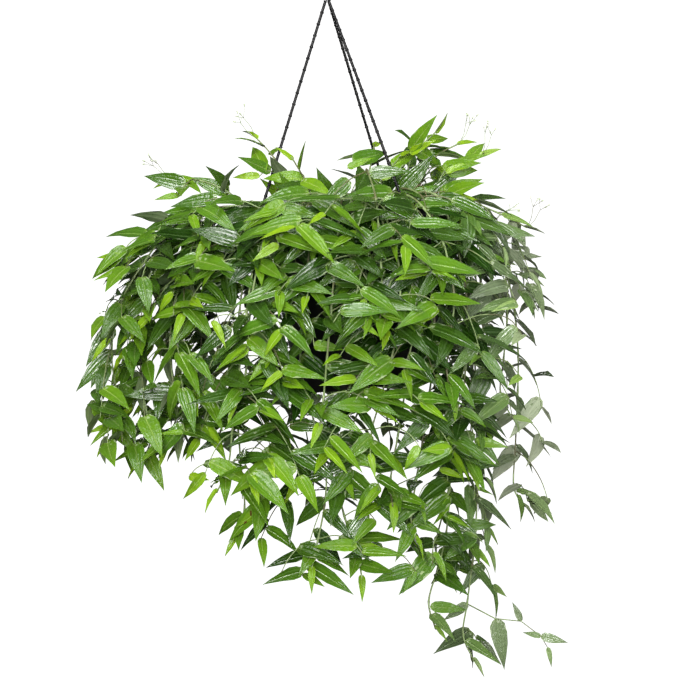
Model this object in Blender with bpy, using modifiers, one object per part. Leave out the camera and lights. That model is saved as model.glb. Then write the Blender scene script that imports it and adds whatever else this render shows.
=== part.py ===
"""Hanging basket of Tahitian bridal veil.

A black plastic pot hangs by three strands from a hook, and leafy stems root in its soil,
climb over the rim and trail down all round. Metres, +Z up. The origin is the inside top of
the hook, where it rests on its bracket or rod.
"""

import math
import random

import bmesh
import bpy
from mathutils import Matrix, Vector
from mathutils.bvhtree import BVHTree

# Hook and crown, from the origin down
HOOK_INNER_RADIUS = 0.0125
HOOK_ROD_RADIUS = 0.0026
APEX_DROP = 0.062
CROWN_TOP_RADIUS = 0.0032
CROWN_FOOT_RADIUS = 0.0046
CROWN_HEIGHT = 0.015
CROWN_FOOT_DROP = 0.0044
CROWN_EDGE = 0.0008
CROWN_BAND = 0.004
HOOK_NECK = ((0.0, -0.003), (0.0, 0.005), (0.0035, 0.012))
HOOK_ARC = range(-40, 201, 30)

# The three strands meet at the apex and run straight to the pot's rim
STRAND_ANGLES = (181.0, -59.0, 61.0)
STRAND_RADIUS = 0.0016
STRAND_KNUCKLE_RADIUS = 0.0020
STRAND_KNUCKLE_PITCH = 0.012
STRAND_HOLE_REACH = 0.095
STRAND_END_RADIUS = 0.0028
STRAND_SIDES = 6
STRAND_BEND_HEIGHT = 0.006
STRAND_PLAIN_END = 0.008
STRAND_KNUCKLE_HALF = 0.0014
STRAND_BUTTON = ((0.0001, 0.46), (0.0008, 1.0), (0.0022, 1.0), (0.0032, 0.6))

# Pot, which hangs a little askew under the uneven weight of the plant
TILT = math.radians(6.25)
APEX_TO_RIM = 0.227
RIM_RADIUS = 0.100
RIM_THICKNESS = 0.002
RIM_LIP = 0.012
RIM_EDGE = 0.001
WALL = 0.0016
WALL_TOP_RADIUS = 0.0915
WALL_FOOT_RADIUS = 0.070
POT_HEIGHT = 0.165
FLOOR_THICKNESS = 0.002
FLOOR_CORNER = 0.003
FOOT_HEIGHT = 0.002
FOOT_WIDTH = 0.006
POT_SIDES = 24
DRAIN_HOLES = 4
DRAIN_HOLE_RADIUS = 0.004
DRAIN_HOLE_REACH = 0.042
STRAND_HOLE_RADIUS = 0.0021
HOLE_CUT = 0.004

# Space between pieces that touch, and the distance that welds loose corners
CLEARANCE = 0.0003
WELD = 0.00001

# Potting soil
SOIL_TOP = -0.020
STEM_HOLE_DEPTH = 0.013
STEM_HOLE_RADIUS = 0.0021

# Leafy stems
STEM_ROOT_RADIUS = 0.0011
STEM_TIP_RADIUS = 0.0008
STEM_DEPTH = 0.012
STEM_GROUND = 0.004
STEM_CLEARANCE = 0.0006
STEM_SWAY = 0.012
STEM_WANDER = 0.16
STEM_WANDER_MOST = 0.045
ROOT_MARGIN = 0.012
SPARE_ROOTS = 4
CREST_LIFT = 0.003
CREST_LIFT_PER_REACH = 0.08
CREST_OUTSIDE_RIM = 0.006
HANGING_REACH = 0.126
TIP_CURL = 0.012
INTERNODE = 0.038
BARE_FOOT = 0.052
BARE_FOOT_RISING = 0.030
ROUTE_TRIES = 240
LEAF_TRIES = 40

# Leaves
LEAF_LENGTH = 0.047
LEAF_WIDTH = 0.34
LEAF_THICKNESS = 0.0014
LEAF_STATIONS = (0.0, 0.24, 0.62, 1.0)
LEAF_WIDTHS = (0.0, 0.95, 0.70, 0.0)
LEAF_FORWARD = 0.005
LEAF_CLEARANCE = 0.0005
LEAF_NEAR = 0.06
LEAF_OWN_NODE = 0.012
TIP_LEAVES = (0.030, 0.015, 0.004)
LEAF_SPREAD = 60.0
LEAF_DIP = 12.0
LEAF_RISE = 32.0
LIGHT_WAY = Vector((0.10, -0.60, 0.80))

# Where each spray ends: compass angle about the pot in degrees, with -90 towards the viewer,
# reach from the pot's axis, and drop below the rim, both in metres. A rise is a negative drop.
RISING = -0.02
RISING_SPRAYS = (
    (168, 0.100, -0.088), (-150, 0.068, -0.060), (177, 0.185, -0.040), (62, 0.050, -0.084),
    (-34, 0.058, -0.062), (2, 0.086, -0.092), (12, 0.112, -0.082), (-6, 0.130, -0.064),
)
LEFT_SPRAYS = (
    (180, 0.172, 0.020), (170, 0.186, 0.080), (-160, 0.190, 0.125), (-166, 0.216, 0.185),
    (-170, 0.240, 0.218), (-150, 0.198, 0.220), (-160, 0.214, 0.238), (-130, 0.188, 0.256),
    (-140, 0.180, 0.066),
)
FRONT_SPRAYS = (
    (-113, 0.182, 0.032), (-103, 0.195, 0.086), (-122, 0.190, 0.176), (-98, 0.190, 0.195),
    (-85, 0.180, 0.222), (-78, 0.182, 0.036), (-82, 0.200, 0.115), (-57, 0.172, 0.058),
    (-61, 0.184, 0.172), (-46, 0.155, 0.237),
)
RIGHT_SPRAYS = (
    (14, 0.150, -0.002), (1, 0.176, 0.006), (-14, 0.145, 0.040), (-5, 0.174, 0.080),
    (14, 0.150, 0.125), (-2, 0.160, 0.196), (13, 0.184, 0.290),
)
LONG_SPRAYS = (
    (-28, 0.102, 0.345), (-20, 0.126, 0.430), (-44, 0.110, 0.392), (-65, 0.140, 0.300),
    (-76, 0.150, 0.268),
)
LONE_SPRAYS = (
    (-86, 0.135, 0.335), (-104, 0.150, 0.325), (-122, 0.160, 0.302),
)
BACK_SPRAYS = (
    (46, 0.160, 0.150), (62, 0.160, 0.060), (76, 0.185, 0.230), (92, 0.195, 0.110),
    (106, 0.160, 0.290), (122, 0.190, 0.180), (138, 0.180, 0.050), (150, 0.185, 0.230),
)
SPRAYS = (RISING_SPRAYS + LEFT_SPRAYS + FRONT_SPRAYS + RIGHT_SPRAYS + LONG_SPRAYS + LONE_SPRAYS
          + BACK_SPRAYS)


def clear_scene():
    for old in list(bpy.data.objects):
        bpy.data.objects.remove(old, do_unlink=True)


def new_collection(name, parent=None):
    collection = bpy.data.collections.new(name)
    (parent or bpy.context.scene.collection).children.link(collection)
    return collection


def material(name, colour, roughness, metallic=0.0):
    made = bpy.data.materials.new(name)
    made.use_nodes = True
    shader = made.node_tree.nodes["Principled BSDF"]
    shader.inputs["Base Color"].default_value = (*colour, 1.0)
    shader.inputs["Roughness"].default_value = roughness
    shader.inputs["Metallic"].default_value = metallic
    made.diffuse_color = (*colour, 1.0)
    return made


def add_object(name, mesh, collection, finish=None, parent=None):
    made = bpy.data.objects.new(name, mesh)
    collection.objects.link(made)
    if finish:
        mesh.materials.append(finish)
    made.parent = parent
    return made


def mesh_from(name, bm):
    mesh = bpy.data.meshes.new(name)
    bm.to_mesh(mesh)
    bm.free()
    return mesh


def turned(name, profile, steps, collection, finish, parent=None):
    """A profile of (radius, height) points turned about Z, its outer side running down."""
    bm = bmesh.new()
    points = [bm.verts.new((radius, 0.0, height)) for radius, height in profile]
    for first, second in zip(points, points[1:]):
        bm.edges.new((first, second))
    made = add_object(name, mesh_from(name, bm), collection, finish, parent)
    screw = made.modifiers.new("turn", "SCREW")
    screw.steps = steps
    screw.render_steps = steps
    screw.use_merge_vertices = True
    screw.merge_threshold = WELD
    screw.use_smooth_shade = False
    return made


def cutter_cylinder(name, radius, bottom, top, sides, collection, parent):
    """An upright prism between two heights, to be placed by its location."""
    bm = bmesh.new()
    bmesh.ops.create_cone(
        bm, cap_ends=True, segments=sides, radius1=radius, radius2=radius, depth=top - bottom,
        matrix=Matrix.Translation((0.0, 0.0, (top + bottom) / 2)),
    )
    made = add_object(name, mesh_from(name, bm), collection, parent=parent)
    made.display_type = "WIRE"
    made.hide_render = True
    return made


def subtract(target, cutters):
    cut = target.modifiers.new("cut", "BOOLEAN")
    cut.operation = "DIFFERENCE"
    cut.operand_type = "COLLECTION"
    cut.collection = cutters
    cut.solver = "EXACT"


def smooth_route(points, steps=12):
    """A Catmull-Rom curve through the points, as a fine list of points."""
    ends = [points[0] * 2 - points[1]] + list(points) + [points[-1] * 2 - points[-2]]
    fine = []
    for before, start, end, after in zip(ends, ends[1:], ends[2:], ends[3:]):
        for step in range(steps):
            t = step / steps
            fine.append(0.5 * (
                2 * start + (end - before) * t
                + (2 * before - 5 * start + 4 * end - after) * t ** 2
                + (3 * start - before - 3 * end + after) * t ** 3
            ))
    fine.append(points[-1].copy())
    return fine


def tube_bmesh(points, radii, sides):
    """A tube with one ring of a few sides at each point, closed at both ends."""
    bm = bmesh.new()
    side_way = None
    rings = []
    for index, point in enumerate(points):
        ahead = points[min(index + 1, len(points) - 1)] - points[max(index - 1, 0)]
        ahead.normalize()
        if side_way is None:
            side_way = ahead.orthogonal()
        side_way = (side_way - ahead * side_way.dot(ahead)).normalized()
        up_way = ahead.cross(side_way)
        turns = [2 * math.pi * side / sides for side in range(sides)]
        rings.append([
            bm.verts.new(point + radii[index] * (side_way * math.cos(a) + up_way * math.sin(a)))
            for a in turns
        ])
    for lower, upper in zip(rings, rings[1:]):
        for side in range(sides):
            after = (side + 1) % sides
            bm.faces.new((lower[side], lower[after], upper[after], upper[side]))
    bm.faces.new(list(reversed(rings[0])))
    bm.faces.new(rings[-1])
    bmesh.ops.triangulate(bm, faces=[face for face in bm.faces if len(face.verts) == 4])
    return bm


def build_hook(collection, unions, finish):
    """The moulded hook and the crown below it, one piece."""
    centre = Vector((0.0, 0.0, -HOOK_INNER_RADIUS))
    arc_radius = HOOK_INNER_RADIUS + HOOK_ROD_RADIUS
    crown_top = -APEX_DROP - CROWN_FOOT_DROP + CROWN_HEIGHT
    neck = [Vector((across, 0.0, crown_top + above)) for across, above in HOOK_NECK]
    arc = [
        centre + arc_radius * Vector((math.cos(math.radians(a)), 0.0, math.sin(math.radians(a))))
        for a in HOOK_ARC
    ]
    curve = bpy.data.curves.new("hook_rod", "CURVE")
    curve.dimensions = "3D"
    curve.bevel_depth = HOOK_ROD_RADIUS
    curve.bevel_resolution = 2
    curve.use_fill_caps = True
    route = smooth_route(neck + arc, 1)
    spline = curve.splines.new("POLY")
    spline.points.add(len(route) - 1)
    for place, point in zip(spline.points, route):
        place.co = (*point, 1.0)
    rod = bpy.data.objects.new("hook_rod", curve)
    unions.objects.link(rod)
    graph = bpy.context.evaluated_depsgraph_get()
    mesh = bpy.data.meshes.new_from_object(rod.evaluated_get(graph))
    bm = bmesh.new()
    bm.from_mesh(mesh)
    bmesh.ops.remove_doubles(bm, verts=bm.verts[:], dist=WELD)
    bpy.data.objects.remove(rod)
    rod = add_object("hook_rod", mesh_from("hook_rod", bm), unions)

    foot = -APEX_DROP - CROWN_FOOT_DROP
    profile = (
        (0.0, crown_top), (CROWN_TOP_RADIUS - CROWN_EDGE, crown_top),
        (CROWN_TOP_RADIUS, crown_top - CROWN_EDGE), (CROWN_FOOT_RADIUS, foot + CROWN_BAND),
        (CROWN_FOOT_RADIUS, foot + CROWN_EDGE), (CROWN_FOOT_RADIUS - CROWN_EDGE, foot),
        (0.0, foot),
    )
    hook = turned("hanger_hook", profile, 12, collection, finish)
    join = hook.modifiers.new("join", "BOOLEAN")
    join.operation = "UNION"
    join.object = rod
    join.solver = "EXACT"
    rod.hide_render = True
    rod.display_type = "WIRE"
    return hook


def build_strand(name, angle, collection, finish, parent):
    """A moulded strand with a knuckle at even steps, which ends in a button under the rim."""
    way = Vector((math.cos(math.radians(angle)), math.sin(math.radians(angle)), 0.0))
    down = Vector((0.0, 0.0, -1.0))
    bend = way * STRAND_HOLE_REACH + down * (APEX_TO_RIM - STRAND_BEND_HEIGHT)
    run = bend.normalized()
    slope = (Matrix.Rotation(-TILT, 3, "Y") @ run).angle(down)
    top = run * (CROWN_FOOT_DROP + CLEARANCE + STRAND_RADIUS * math.sin(slope)) / math.cos(slope)
    length = (bend - top).length
    points = [top]
    radii = [STRAND_RADIUS]
    knuckles = int((length - STRAND_PLAIN_END) / STRAND_KNUCKLE_PITCH)
    for number in range(1, knuckles + 1):
        middle = number * STRAND_KNUCKLE_PITCH
        for offset, radius in ((-STRAND_KNUCKLE_HALF, STRAND_RADIUS), (0.0, STRAND_KNUCKLE_RADIUS),
                               (STRAND_KNUCKLE_HALF, STRAND_RADIUS)):
            points.append(top + run * (middle + offset))
            radii.append(radius)
    under_rim = APEX_TO_RIM + RIM_THICKNESS + CLEARANCE
    points.append(bend)
    radii.append(STRAND_RADIUS)
    for drop, share in STRAND_BUTTON:
        points.append(way * STRAND_HOLE_REACH + down * (under_rim + drop))
        radii.append(STRAND_END_RADIUS * share)
    mesh = mesh_from(name, tube_bmesh(points, radii, STRAND_SIDES))
    return add_object(name, mesh, collection, finish, parent)


def build_pot(collection, cutters, finish, parent):
    """The thin moulded pot: rolled rim, tapered wall, footed floor, drain and strand holes."""
    floor = -POT_HEIGHT + FOOT_HEIGHT
    profile = (
        (0.0, floor + FLOOR_THICKNESS),
        (WALL_FOOT_RADIUS - WALL - FLOOR_CORNER, floor + FLOOR_THICKNESS),
        (WALL_FOOT_RADIUS - WALL, floor + FLOOR_THICKNESS + FLOOR_CORNER),
        (WALL_TOP_RADIUS - WALL, 0.0),
        (RIM_RADIUS - RIM_EDGE, 0.0),
        (RIM_RADIUS, -RIM_EDGE),
        (RIM_RADIUS, -RIM_LIP),
        (RIM_RADIUS - WALL, -RIM_LIP),
        (RIM_RADIUS - WALL, -RIM_THICKNESS),
        (WALL_TOP_RADIUS, -RIM_THICKNESS),
        (WALL_FOOT_RADIUS, -POT_HEIGHT),
        (WALL_FOOT_RADIUS - FOOT_WIDTH, -POT_HEIGHT),
        (WALL_FOOT_RADIUS - FOOT_WIDTH, floor),
        (0.0, floor),
    )
    pot = turned("pot", profile, POT_SIDES, collection, finish, parent)
    for number, angle in enumerate(STRAND_ANGLES, 1):
        hole = cutter_cylinder(f"strand_hole_{number}", STRAND_HOLE_RADIUS,
                               -RIM_THICKNESS - HOLE_CUT, HOLE_CUT, 8, cutters, parent)
        hole.location = (
            STRAND_HOLE_REACH * math.cos(math.radians(angle)),
            STRAND_HOLE_REACH * math.sin(math.radians(angle)), 0.0,
        )
    for number in range(DRAIN_HOLES):
        angle = 2 * math.pi * (number + 0.5) / DRAIN_HOLES
        hole = cutter_cylinder(f"drain_hole_{number + 1}", DRAIN_HOLE_RADIUS, -HOLE_CUT, HOLE_CUT,
                               6, cutters, parent)
        hole.location = (DRAIN_HOLE_REACH * math.cos(angle), DRAIN_HOLE_REACH * math.sin(angle),
                         floor + FLOOR_THICKNESS / 2)
    subtract(pot, cutters)
    return pot


def inner_wall_radius(height):
    """The pot wall's inner radius at a height below the rim."""
    low = -POT_HEIGHT + FOOT_HEIGHT + FLOOR_THICKNESS + FLOOR_CORNER
    share = (height - low) / -low
    return WALL_FOOT_RADIUS - WALL + share * (WALL_TOP_RADIUS - WALL_FOOT_RADIUS)


def build_soil(collection, cutters, finish, parent, roots):
    """The soil that fills the pot, with a plain hole where each stem stands."""
    flat = math.cos(math.pi / POT_SIDES)
    bottom = -POT_HEIGHT + FOOT_HEIGHT + FLOOR_THICKNESS + FLOOR_CORNER + CLEARANCE
    bm = bmesh.new()
    bmesh.ops.create_cone(
        bm, cap_ends=True, segments=POT_SIDES,
        radius1=inner_wall_radius(bottom) * flat - CLEARANCE,
        radius2=inner_wall_radius(SOIL_TOP) * flat - CLEARANCE,
        depth=SOIL_TOP - bottom,
        matrix=Matrix.Translation((0.0, 0.0, (SOIL_TOP + bottom) / 2)),
    )
    soil = add_object("potting_soil", mesh_from("potting_soil", bm), collection, finish, parent)
    for number, (across, along) in enumerate(roots, 1):
        hole = cutter_cylinder(f"stem_hole_{number:02d}", STEM_HOLE_RADIUS,
                               -STEM_HOLE_DEPTH, HOLE_CUT, 4, cutters, parent)
        hole.location = (across, along, SOIL_TOP)
    subtract(soil, cutters)
    return soil


def root_places(count):
    """Evenly spread rooting places on the soil, from the middle outwards."""
    golden = math.pi * (3 - math.sqrt(5))
    outer = WALL_TOP_RADIUS - WALL - ROOT_MARGIN
    return [
        (outer * math.sqrt((n + 0.5) / count) * math.cos(n * golden),
         outer * math.sqrt((n + 0.5) / count) * math.sin(n * golden))
        for n in range(count)
    ]


def wanted_root(azimuth, reach, drop):
    """Sprays that reach furthest or rise root near the middle, those that hug the pot outside."""
    if drop < RISING:
        radius = 0.015 + 0.25 * reach
    else:
        radius = max(0.018, 0.105 - 0.38 * reach)
    return radius * math.cos(azimuth), radius * math.sin(azimuth)


def choose_roots(sprays):
    """Gives each spray the free rooting place nearest to the one that it wants."""
    free = root_places(len(sprays) + SPARE_ROOTS)
    chosen = [None] * len(sprays)
    order = sorted(range(len(sprays)), key=lambda n: (sprays[n][1], n))
    for number in order:
        azimuth, reach, drop = sprays[number]
        want = wanted_root(math.radians(azimuth), reach, drop)
        near = min(free, key=lambda place: math.dist(place, want))
        free.remove(near)
        chosen[number] = near
    return chosen, free


def spray_route(spray, root, pot_frame, rng, extra_lift):
    """The smooth path of a stem: up out of the soil, over the rim, and out and down."""
    azimuth, reach, drop = spray
    rim = pot_frame.translation
    turn = math.radians(azimuth)
    out = Vector((math.cos(turn), math.sin(turn), 0.0))
    rim_height = rim.z + math.sin(TILT) * math.cos(turn) * RIM_RADIUS
    upright = pot_frame.to_3x3() @ Vector((0.0, 0.0, 1.0))
    foot = pot_frame @ Vector((root[0], root[1], SOIL_TOP - STEM_DEPTH))
    ground = foot + upright * (STEM_DEPTH + STEM_GROUND)
    tip = Vector((rim.x, rim.y, 0.0)) + out * reach
    tip.z = rim.z - drop
    start_reach = (ground - rim).dot(out)
    sideways = Vector((-out.y, out.x, 0.0))
    sway = sideways * rng.uniform(-1, 1) * STEM_SWAY
    most = max(0.0, min(STEM_WANDER_MOST, STEM_WANDER * drop))
    wander = sideways * rng.uniform(-0.5, 0.5) * most

    def at(radius, height, share=1.0, drift=0.0):
        place = Vector((rim.x, rim.y, 0.0)) + out * radius + sway * share + wander * drift
        place.z = height
        return place

    if drop < RISING:
        middle = ground.lerp(tip, 0.45) + upright * (0.022 + extra_lift) + sway * 0.6
        late = ground.lerp(tip, 0.8) + upright * (0.016 + extra_lift) + sway * 0.4
        return foot, smooth_route([ground, middle, late, tip])

    lift = CREST_LIFT + CREST_LIFT_PER_REACH * max(0.0, reach - RIM_RADIUS)
    lift += rng.uniform(-0.004, 0.008) + extra_lift
    over = RIM_RADIUS + CREST_OUTSIDE_RIM + 0.10 * max(0.0, reach - 0.12)
    over += rng.uniform(0.0, 0.006)
    wide = max(reach * 0.98, HANGING_REACH)
    points = [ground, at(start_reach * 0.6 + over * 0.4, rim_height + lift * 0.75, 0.4),
              at(over, rim_height + lift, 0.7)]
    if drop > 0.07:
        points.append(at(over * 0.45 + wide * 0.55, rim_height - 0.020 + lift * 0.6, drift=0.5))
    if drop > 0.16:
        points.append(at(wide, rim_height - 0.42 * drop, drift=1.0))
    if drop > 0.30:
        points.append(at(wide * 0.5 + reach * 0.5, rim_height - 0.72 * drop, 0.5, -0.8))
    curl = TIP_CURL if drop > 0.07 else TIP_CURL / 3
    points.append(tip - out * TIP_CURL + Vector((0.0, 0.0, curl)))
    points.append(tip)
    return foot, smooth_route(points)


def walk(route, distances):
    """The points at the given distances along a fine route."""
    found = []
    gone = 0.0
    place = 0
    for distance in distances:
        while place < len(route) - 2 and gone + (route[place + 1] - route[place]).length < distance:
            gone += (route[place + 1] - route[place]).length
            place += 1
        step = route[place + 1] - route[place]
        share = min(1.0, (distance - gone) / max(step.length, 1e-9))
        found.append(route[place] + step * share)
    return found


def node_distances(route, spray, rng):
    """How far along a stem its bare joints and its leaf nodes lie."""
    length = sum((b - a).length for a, b in zip(route, route[1:]))
    bare = BARE_FOOT if spray[2] > RISING else BARE_FOOT_RISING
    leafy = length - bare - TIP_LEAVES[0]
    count = max(2, round(leafy / INTERNODE))
    nodes = [bare + leafy * (n + rng.uniform(-0.2, 0.2)) / count for n in range(count)]
    nodes += [length - TIP_LEAVES[0] - LEAF_FORWARD]
    return [0.0, bare * 0.45], nodes, length


def unit_blade():
    """A blade's corners as (station, side, keel), and its faces, from a three-sided sphere."""
    bm = bmesh.new()
    rings = len(LEAF_STATIONS) - 1
    bmesh.ops.create_uvsphere(bm, u_segments=3, v_segments=rings, radius=1.0)
    bmesh.ops.triangulate(bm, faces=bm.faces[:])
    corners = []
    for vert in bm.verts:
        ring = round(math.acos(max(-1.0, min(1.0, vert.co.z))) / math.pi * rings)
        side = 0
        keel = 0
        if 0 < ring < rings:
            angle = math.degrees(math.atan2(vert.co.y, vert.co.x)) % 360
            keel = 1 if angle < 60 or angle > 300 else 0
            side = 0 if keel else (1 if angle < 180 else -1)
        corners.append((ring, side, keel))
    faces = [tuple(reversed([vert.index for vert in face.verts])) for face in bm.faces]
    bm.free()
    return corners, faces


def place_blade(corners, base, along, face_up, length, width, arch, swell=0.0):
    """The corners of one leaf: flat above, keeled below, arched along its length."""
    across = face_up.cross(along).normalized()
    above = along.cross(across)
    placed = []
    for ring, side, keel in corners:
        bend = arch * LEAF_STATIONS[ring]
        forward = length * math.sin(bend) / arch
        lift = length * (math.cos(bend) - 1.0) / arch
        spread = side * LEAF_WIDTHS[ring] * (width / 2 + swell)
        depth = swell - keel * (LEAF_THICKNESS + 2 * swell)
        tilted = above * math.cos(bend) + along * math.sin(bend)
        placed.append(base + along * forward + above * lift + across * spread + tilted * depth)
    return placed


def leaf_pose(spray, spin, side, ahead, share, rng):
    """Which way a leaf points, which way its face looks, and its size and arch."""
    turn = math.radians(spray[0])
    out = Vector((math.cos(turn), math.sin(turn), 0.0))
    loose = Vector((rng.uniform(-1, 1), rng.uniform(-1, 1), rng.uniform(-1, 1)))
    if share < 1.0:
        way = turn + spin + side * math.radians(LEAF_SPREAD + 40 * loose.x)
        dip = math.radians(LEAF_DIP + 28 * loose.y - (LEAF_RISE if spray[2] < RISING else 0))
        along = Vector((math.cos(way), math.sin(way), -math.tan(dip))).normalized() + ahead * 0.2
    else:
        along = ahead * 0.9 + out * 0.4 + loose * 0.3
    along.normalize()
    face_up = LIGHT_WAY + out * 0.55 + loose.yzx * 0.45
    face_up = (face_up - along * face_up.dot(along)).normalized()
    grown = 1.0 if share < 0.8 else (0.86 if share < 1.0 else 0.55)
    length = LEAF_LENGTH * grown * rng.uniform(0.84, 1.12)
    width = length * LEAF_WIDTH * rng.uniform(0.88, 1.12)
    arch = rng.uniform(0.15, 0.75)
    return along, face_up, length, width, arch


def leaf_seats(points, first):
    """Where each leaf grows from its stem: its base, the stem's way there, and how far along."""
    seats = []
    last = len(points) - 1
    for node in range(first, last):
        ahead = (points[node + 1] - points[node]).normalized()
        share = 0.5 if node < last - 1 else 0.9
        seats.append((points[node] + ahead * LEAF_FORWARD, ahead, share))
    tip_way = (points[last] - points[last - 1]).normalized()
    seats.append((points[last] - tip_way * TIP_LEAVES[1], tip_way, 0.9))
    seats.append((points[last] - tip_way * TIP_LEAVES[2], tip_way, 1.0))
    return seats


def hits(tree, others):
    return any(tree.overlap(other) for other in others)


def grow_stems(sprays, roots, spare, pot_frame, obstacles):
    """Routes for every stem, each bent clear of the pot, the strands and the other stems."""
    stems = []
    for number, (spray, root) in enumerate(zip(sprays, roots)):
        for attempt in range(ROUTE_TRIES):
            if attempt == ROUTE_TRIES // 2:
                near = [math.dist(place, root) for place in spare]
                root = spare.pop(near.index(min(near)))
            rng = random.Random(1000 * number + attempt)
            shift = rng.uniform(-1, 1) * min(10.0, attempt * 0.5)
            tried = (spray[0] + shift, spray[1], spray[2])
            lift = (attempt % (ROUTE_TRIES // 2)) * 0.0004
            foot, route = spray_route(tried, root, pot_frame, rng, min(0.03, lift))
            bare, nodes, length = node_distances(route, tried, rng)
            points = [foot] + walk(route, bare + nodes + [length])
            radii = [STEM_ROOT_RADIUS + (STEM_TIP_RADIUS - STEM_ROOT_RADIUS) * n / len(points)
                     for n in range(len(points))]
            space = tube_bmesh(points[1:], [radius + STEM_CLEARANCE for radius in radii[1:]], 4)
            tree = BVHTree.FromBMesh(space)
            space.free()
            if not hits(tree, obstacles + [stem["tree"] for stem in stems]):
                break
        stems.append({
            "spray": tried, "points": points, "radii": radii, "tree": tree, "root": root,
            "first_leaf": 1 + len(bare), "rng": rng,
        })
    return stems


def grow_leaves(stems, obstacles):
    """Leaves at every node, each turned until it clears all other stems and leaves."""
    corners, faces = unit_blade()
    placed = []
    for number, stem in enumerate(stems):
        rng = stem["rng"]
        spin = rng.uniform(-0.9, 0.9)
        side = rng.choice((-1, 1))
        points = stem["points"]
        stem["leaves"] = []
        other_stems = [s["tree"] for n, s in enumerate(stems) if n != number]
        for base, ahead, share in leaf_seats(points, stem["first_leaf"]):
            side = -side
            for attempt in range(LEAF_TRIES):
                spread = spin + rng.uniform(-1, 1) * 0.05 * attempt
                pose = leaf_pose(stem["spray"], spread, side, ahead, share, rng)
                outer = place_blade(corners, base, *pose, swell=LEAF_CLEARANCE)
                tree = BVHTree.FromPolygons(outer, faces)
                middle = base + pose[0] * pose[2] * 0.5
                near = [leaf["tree"] for leaf in placed
                        if (leaf["middle"] - middle).length < LEAF_NEAR
                        and (leaf["stem"] != number or (leaf["base"] - base).length > LEAF_OWN_NODE)]
                if not hits(tree, near) and not hits(tree, other_stems + obstacles):
                    placed.append({"tree": tree, "middle": middle, "stem": number, "base": base})
                    stem["leaves"].append(place_blade(corners, base, *pose))
                    break
    return faces


def build_stem(number, stem, faces, collection, finish):
    """One leafy stem: its tube and every leaf on it, joined into one solid."""
    name = f"leafy_stem_{number:02d}"
    tube = mesh_from(name, tube_bmesh(stem["points"], stem["radii"], 3))
    made = add_object(name, tube, collection, finish)
    blades = new_collection("blades")
    for index, corners in enumerate(stem["leaves"]):
        mesh = bpy.data.meshes.new(f"blade_{index}")
        mesh.from_pydata(corners, [], faces)
        add_object(f"blade_{index}", mesh, blades)
    join = made.modifiers.new("join", "BOOLEAN")
    join.operation = "UNION"
    join.operand_type = "COLLECTION"
    join.collection = blades
    join.solver = "MANIFOLD"
    graph = bpy.context.evaluated_depsgraph_get()
    joined = bpy.data.meshes.new_from_object(made.evaluated_get(graph))
    made.modifiers.remove(join)
    made.data = joined
    for blade in list(blades.objects):
        bpy.data.objects.remove(blade)
    bpy.data.collections.remove(blades)
    return made


def world_tree(made):
    """The shape of a finished piece, for keeping stems and leaves clear of it."""
    graph = bpy.context.evaluated_depsgraph_get()
    mesh = bpy.data.meshes.new_from_object(made.evaluated_get(graph))
    bm = bmesh.new()
    bm.from_mesh(mesh)
    bm.transform(made.matrix_world)
    tree = BVHTree.FromBMesh(bm)
    bm.free()
    bpy.data.meshes.remove(mesh)
    return tree


def build():
    clear_scene()
    basket = new_collection("hanging_basket_tahitian_bridal_veil")
    cutters = new_collection("cutters")
    pot_cutters = new_collection("pot_cutters", cutters)
    soil_cutters = new_collection("soil_cutters", cutters)
    unions = new_collection("hook_parts", cutters)

    black_plastic = material("black_plastic", (0.018, 0.018, 0.019), 0.42)
    soil_brown = material("potting_soil", (0.045, 0.030, 0.020), 0.95)
    leaf_green = material("leaf_green", (0.085, 0.225, 0.035), 0.40)

    hanger = bpy.data.objects.new("hanger_frame", None)
    hanger.location = (0.0, 0.0, -APEX_DROP)
    hanger.rotation_euler = (0.0, -TILT, 0.0)
    basket.objects.link(hanger)
    rim = bpy.data.objects.new("rim_frame", None)
    rim.location = (0.0, 0.0, -APEX_TO_RIM)
    rim.parent = hanger
    basket.objects.link(rim)

    build_hook(basket, unions, black_plastic)
    strands = [
        build_strand(f"hanger_strand_{number}", angle, basket, black_plastic, hanger)
        for number, angle in enumerate(STRAND_ANGLES, 1)
    ]
    pot = build_pot(basket, pot_cutters, black_plastic, rim)
    bpy.context.view_layer.update()

    obstacles = [world_tree(made) for made in strands + [pot]]
    roots, spare = choose_roots(SPRAYS)
    stems = grow_stems(SPRAYS, roots, spare, rim.matrix_world, obstacles)
    soil = build_soil(basket, soil_cutters, soil_brown, rim, [stem["root"] for stem in stems])
    bpy.context.view_layer.update()
    faces = grow_leaves(stems, obstacles + [world_tree(soil)])
    for number, stem in enumerate(stems, 1):
        build_stem(number, stem, faces, basket, leaf_green)


build()
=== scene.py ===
"""A hanging basket of Tahitian bridal veil, dressed for its picture.

A black plastic pot hangs by three strands from a hook. Glossy leafy stems climb out of its soil
on all sides, hide the pot and trail below it. Metres, +Z up.
"""

import itertools
import math
import random

import bpy
import numpy as np
from mathutils import Matrix, Vector
from mathutils.bvhtree import BVHTree


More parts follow.
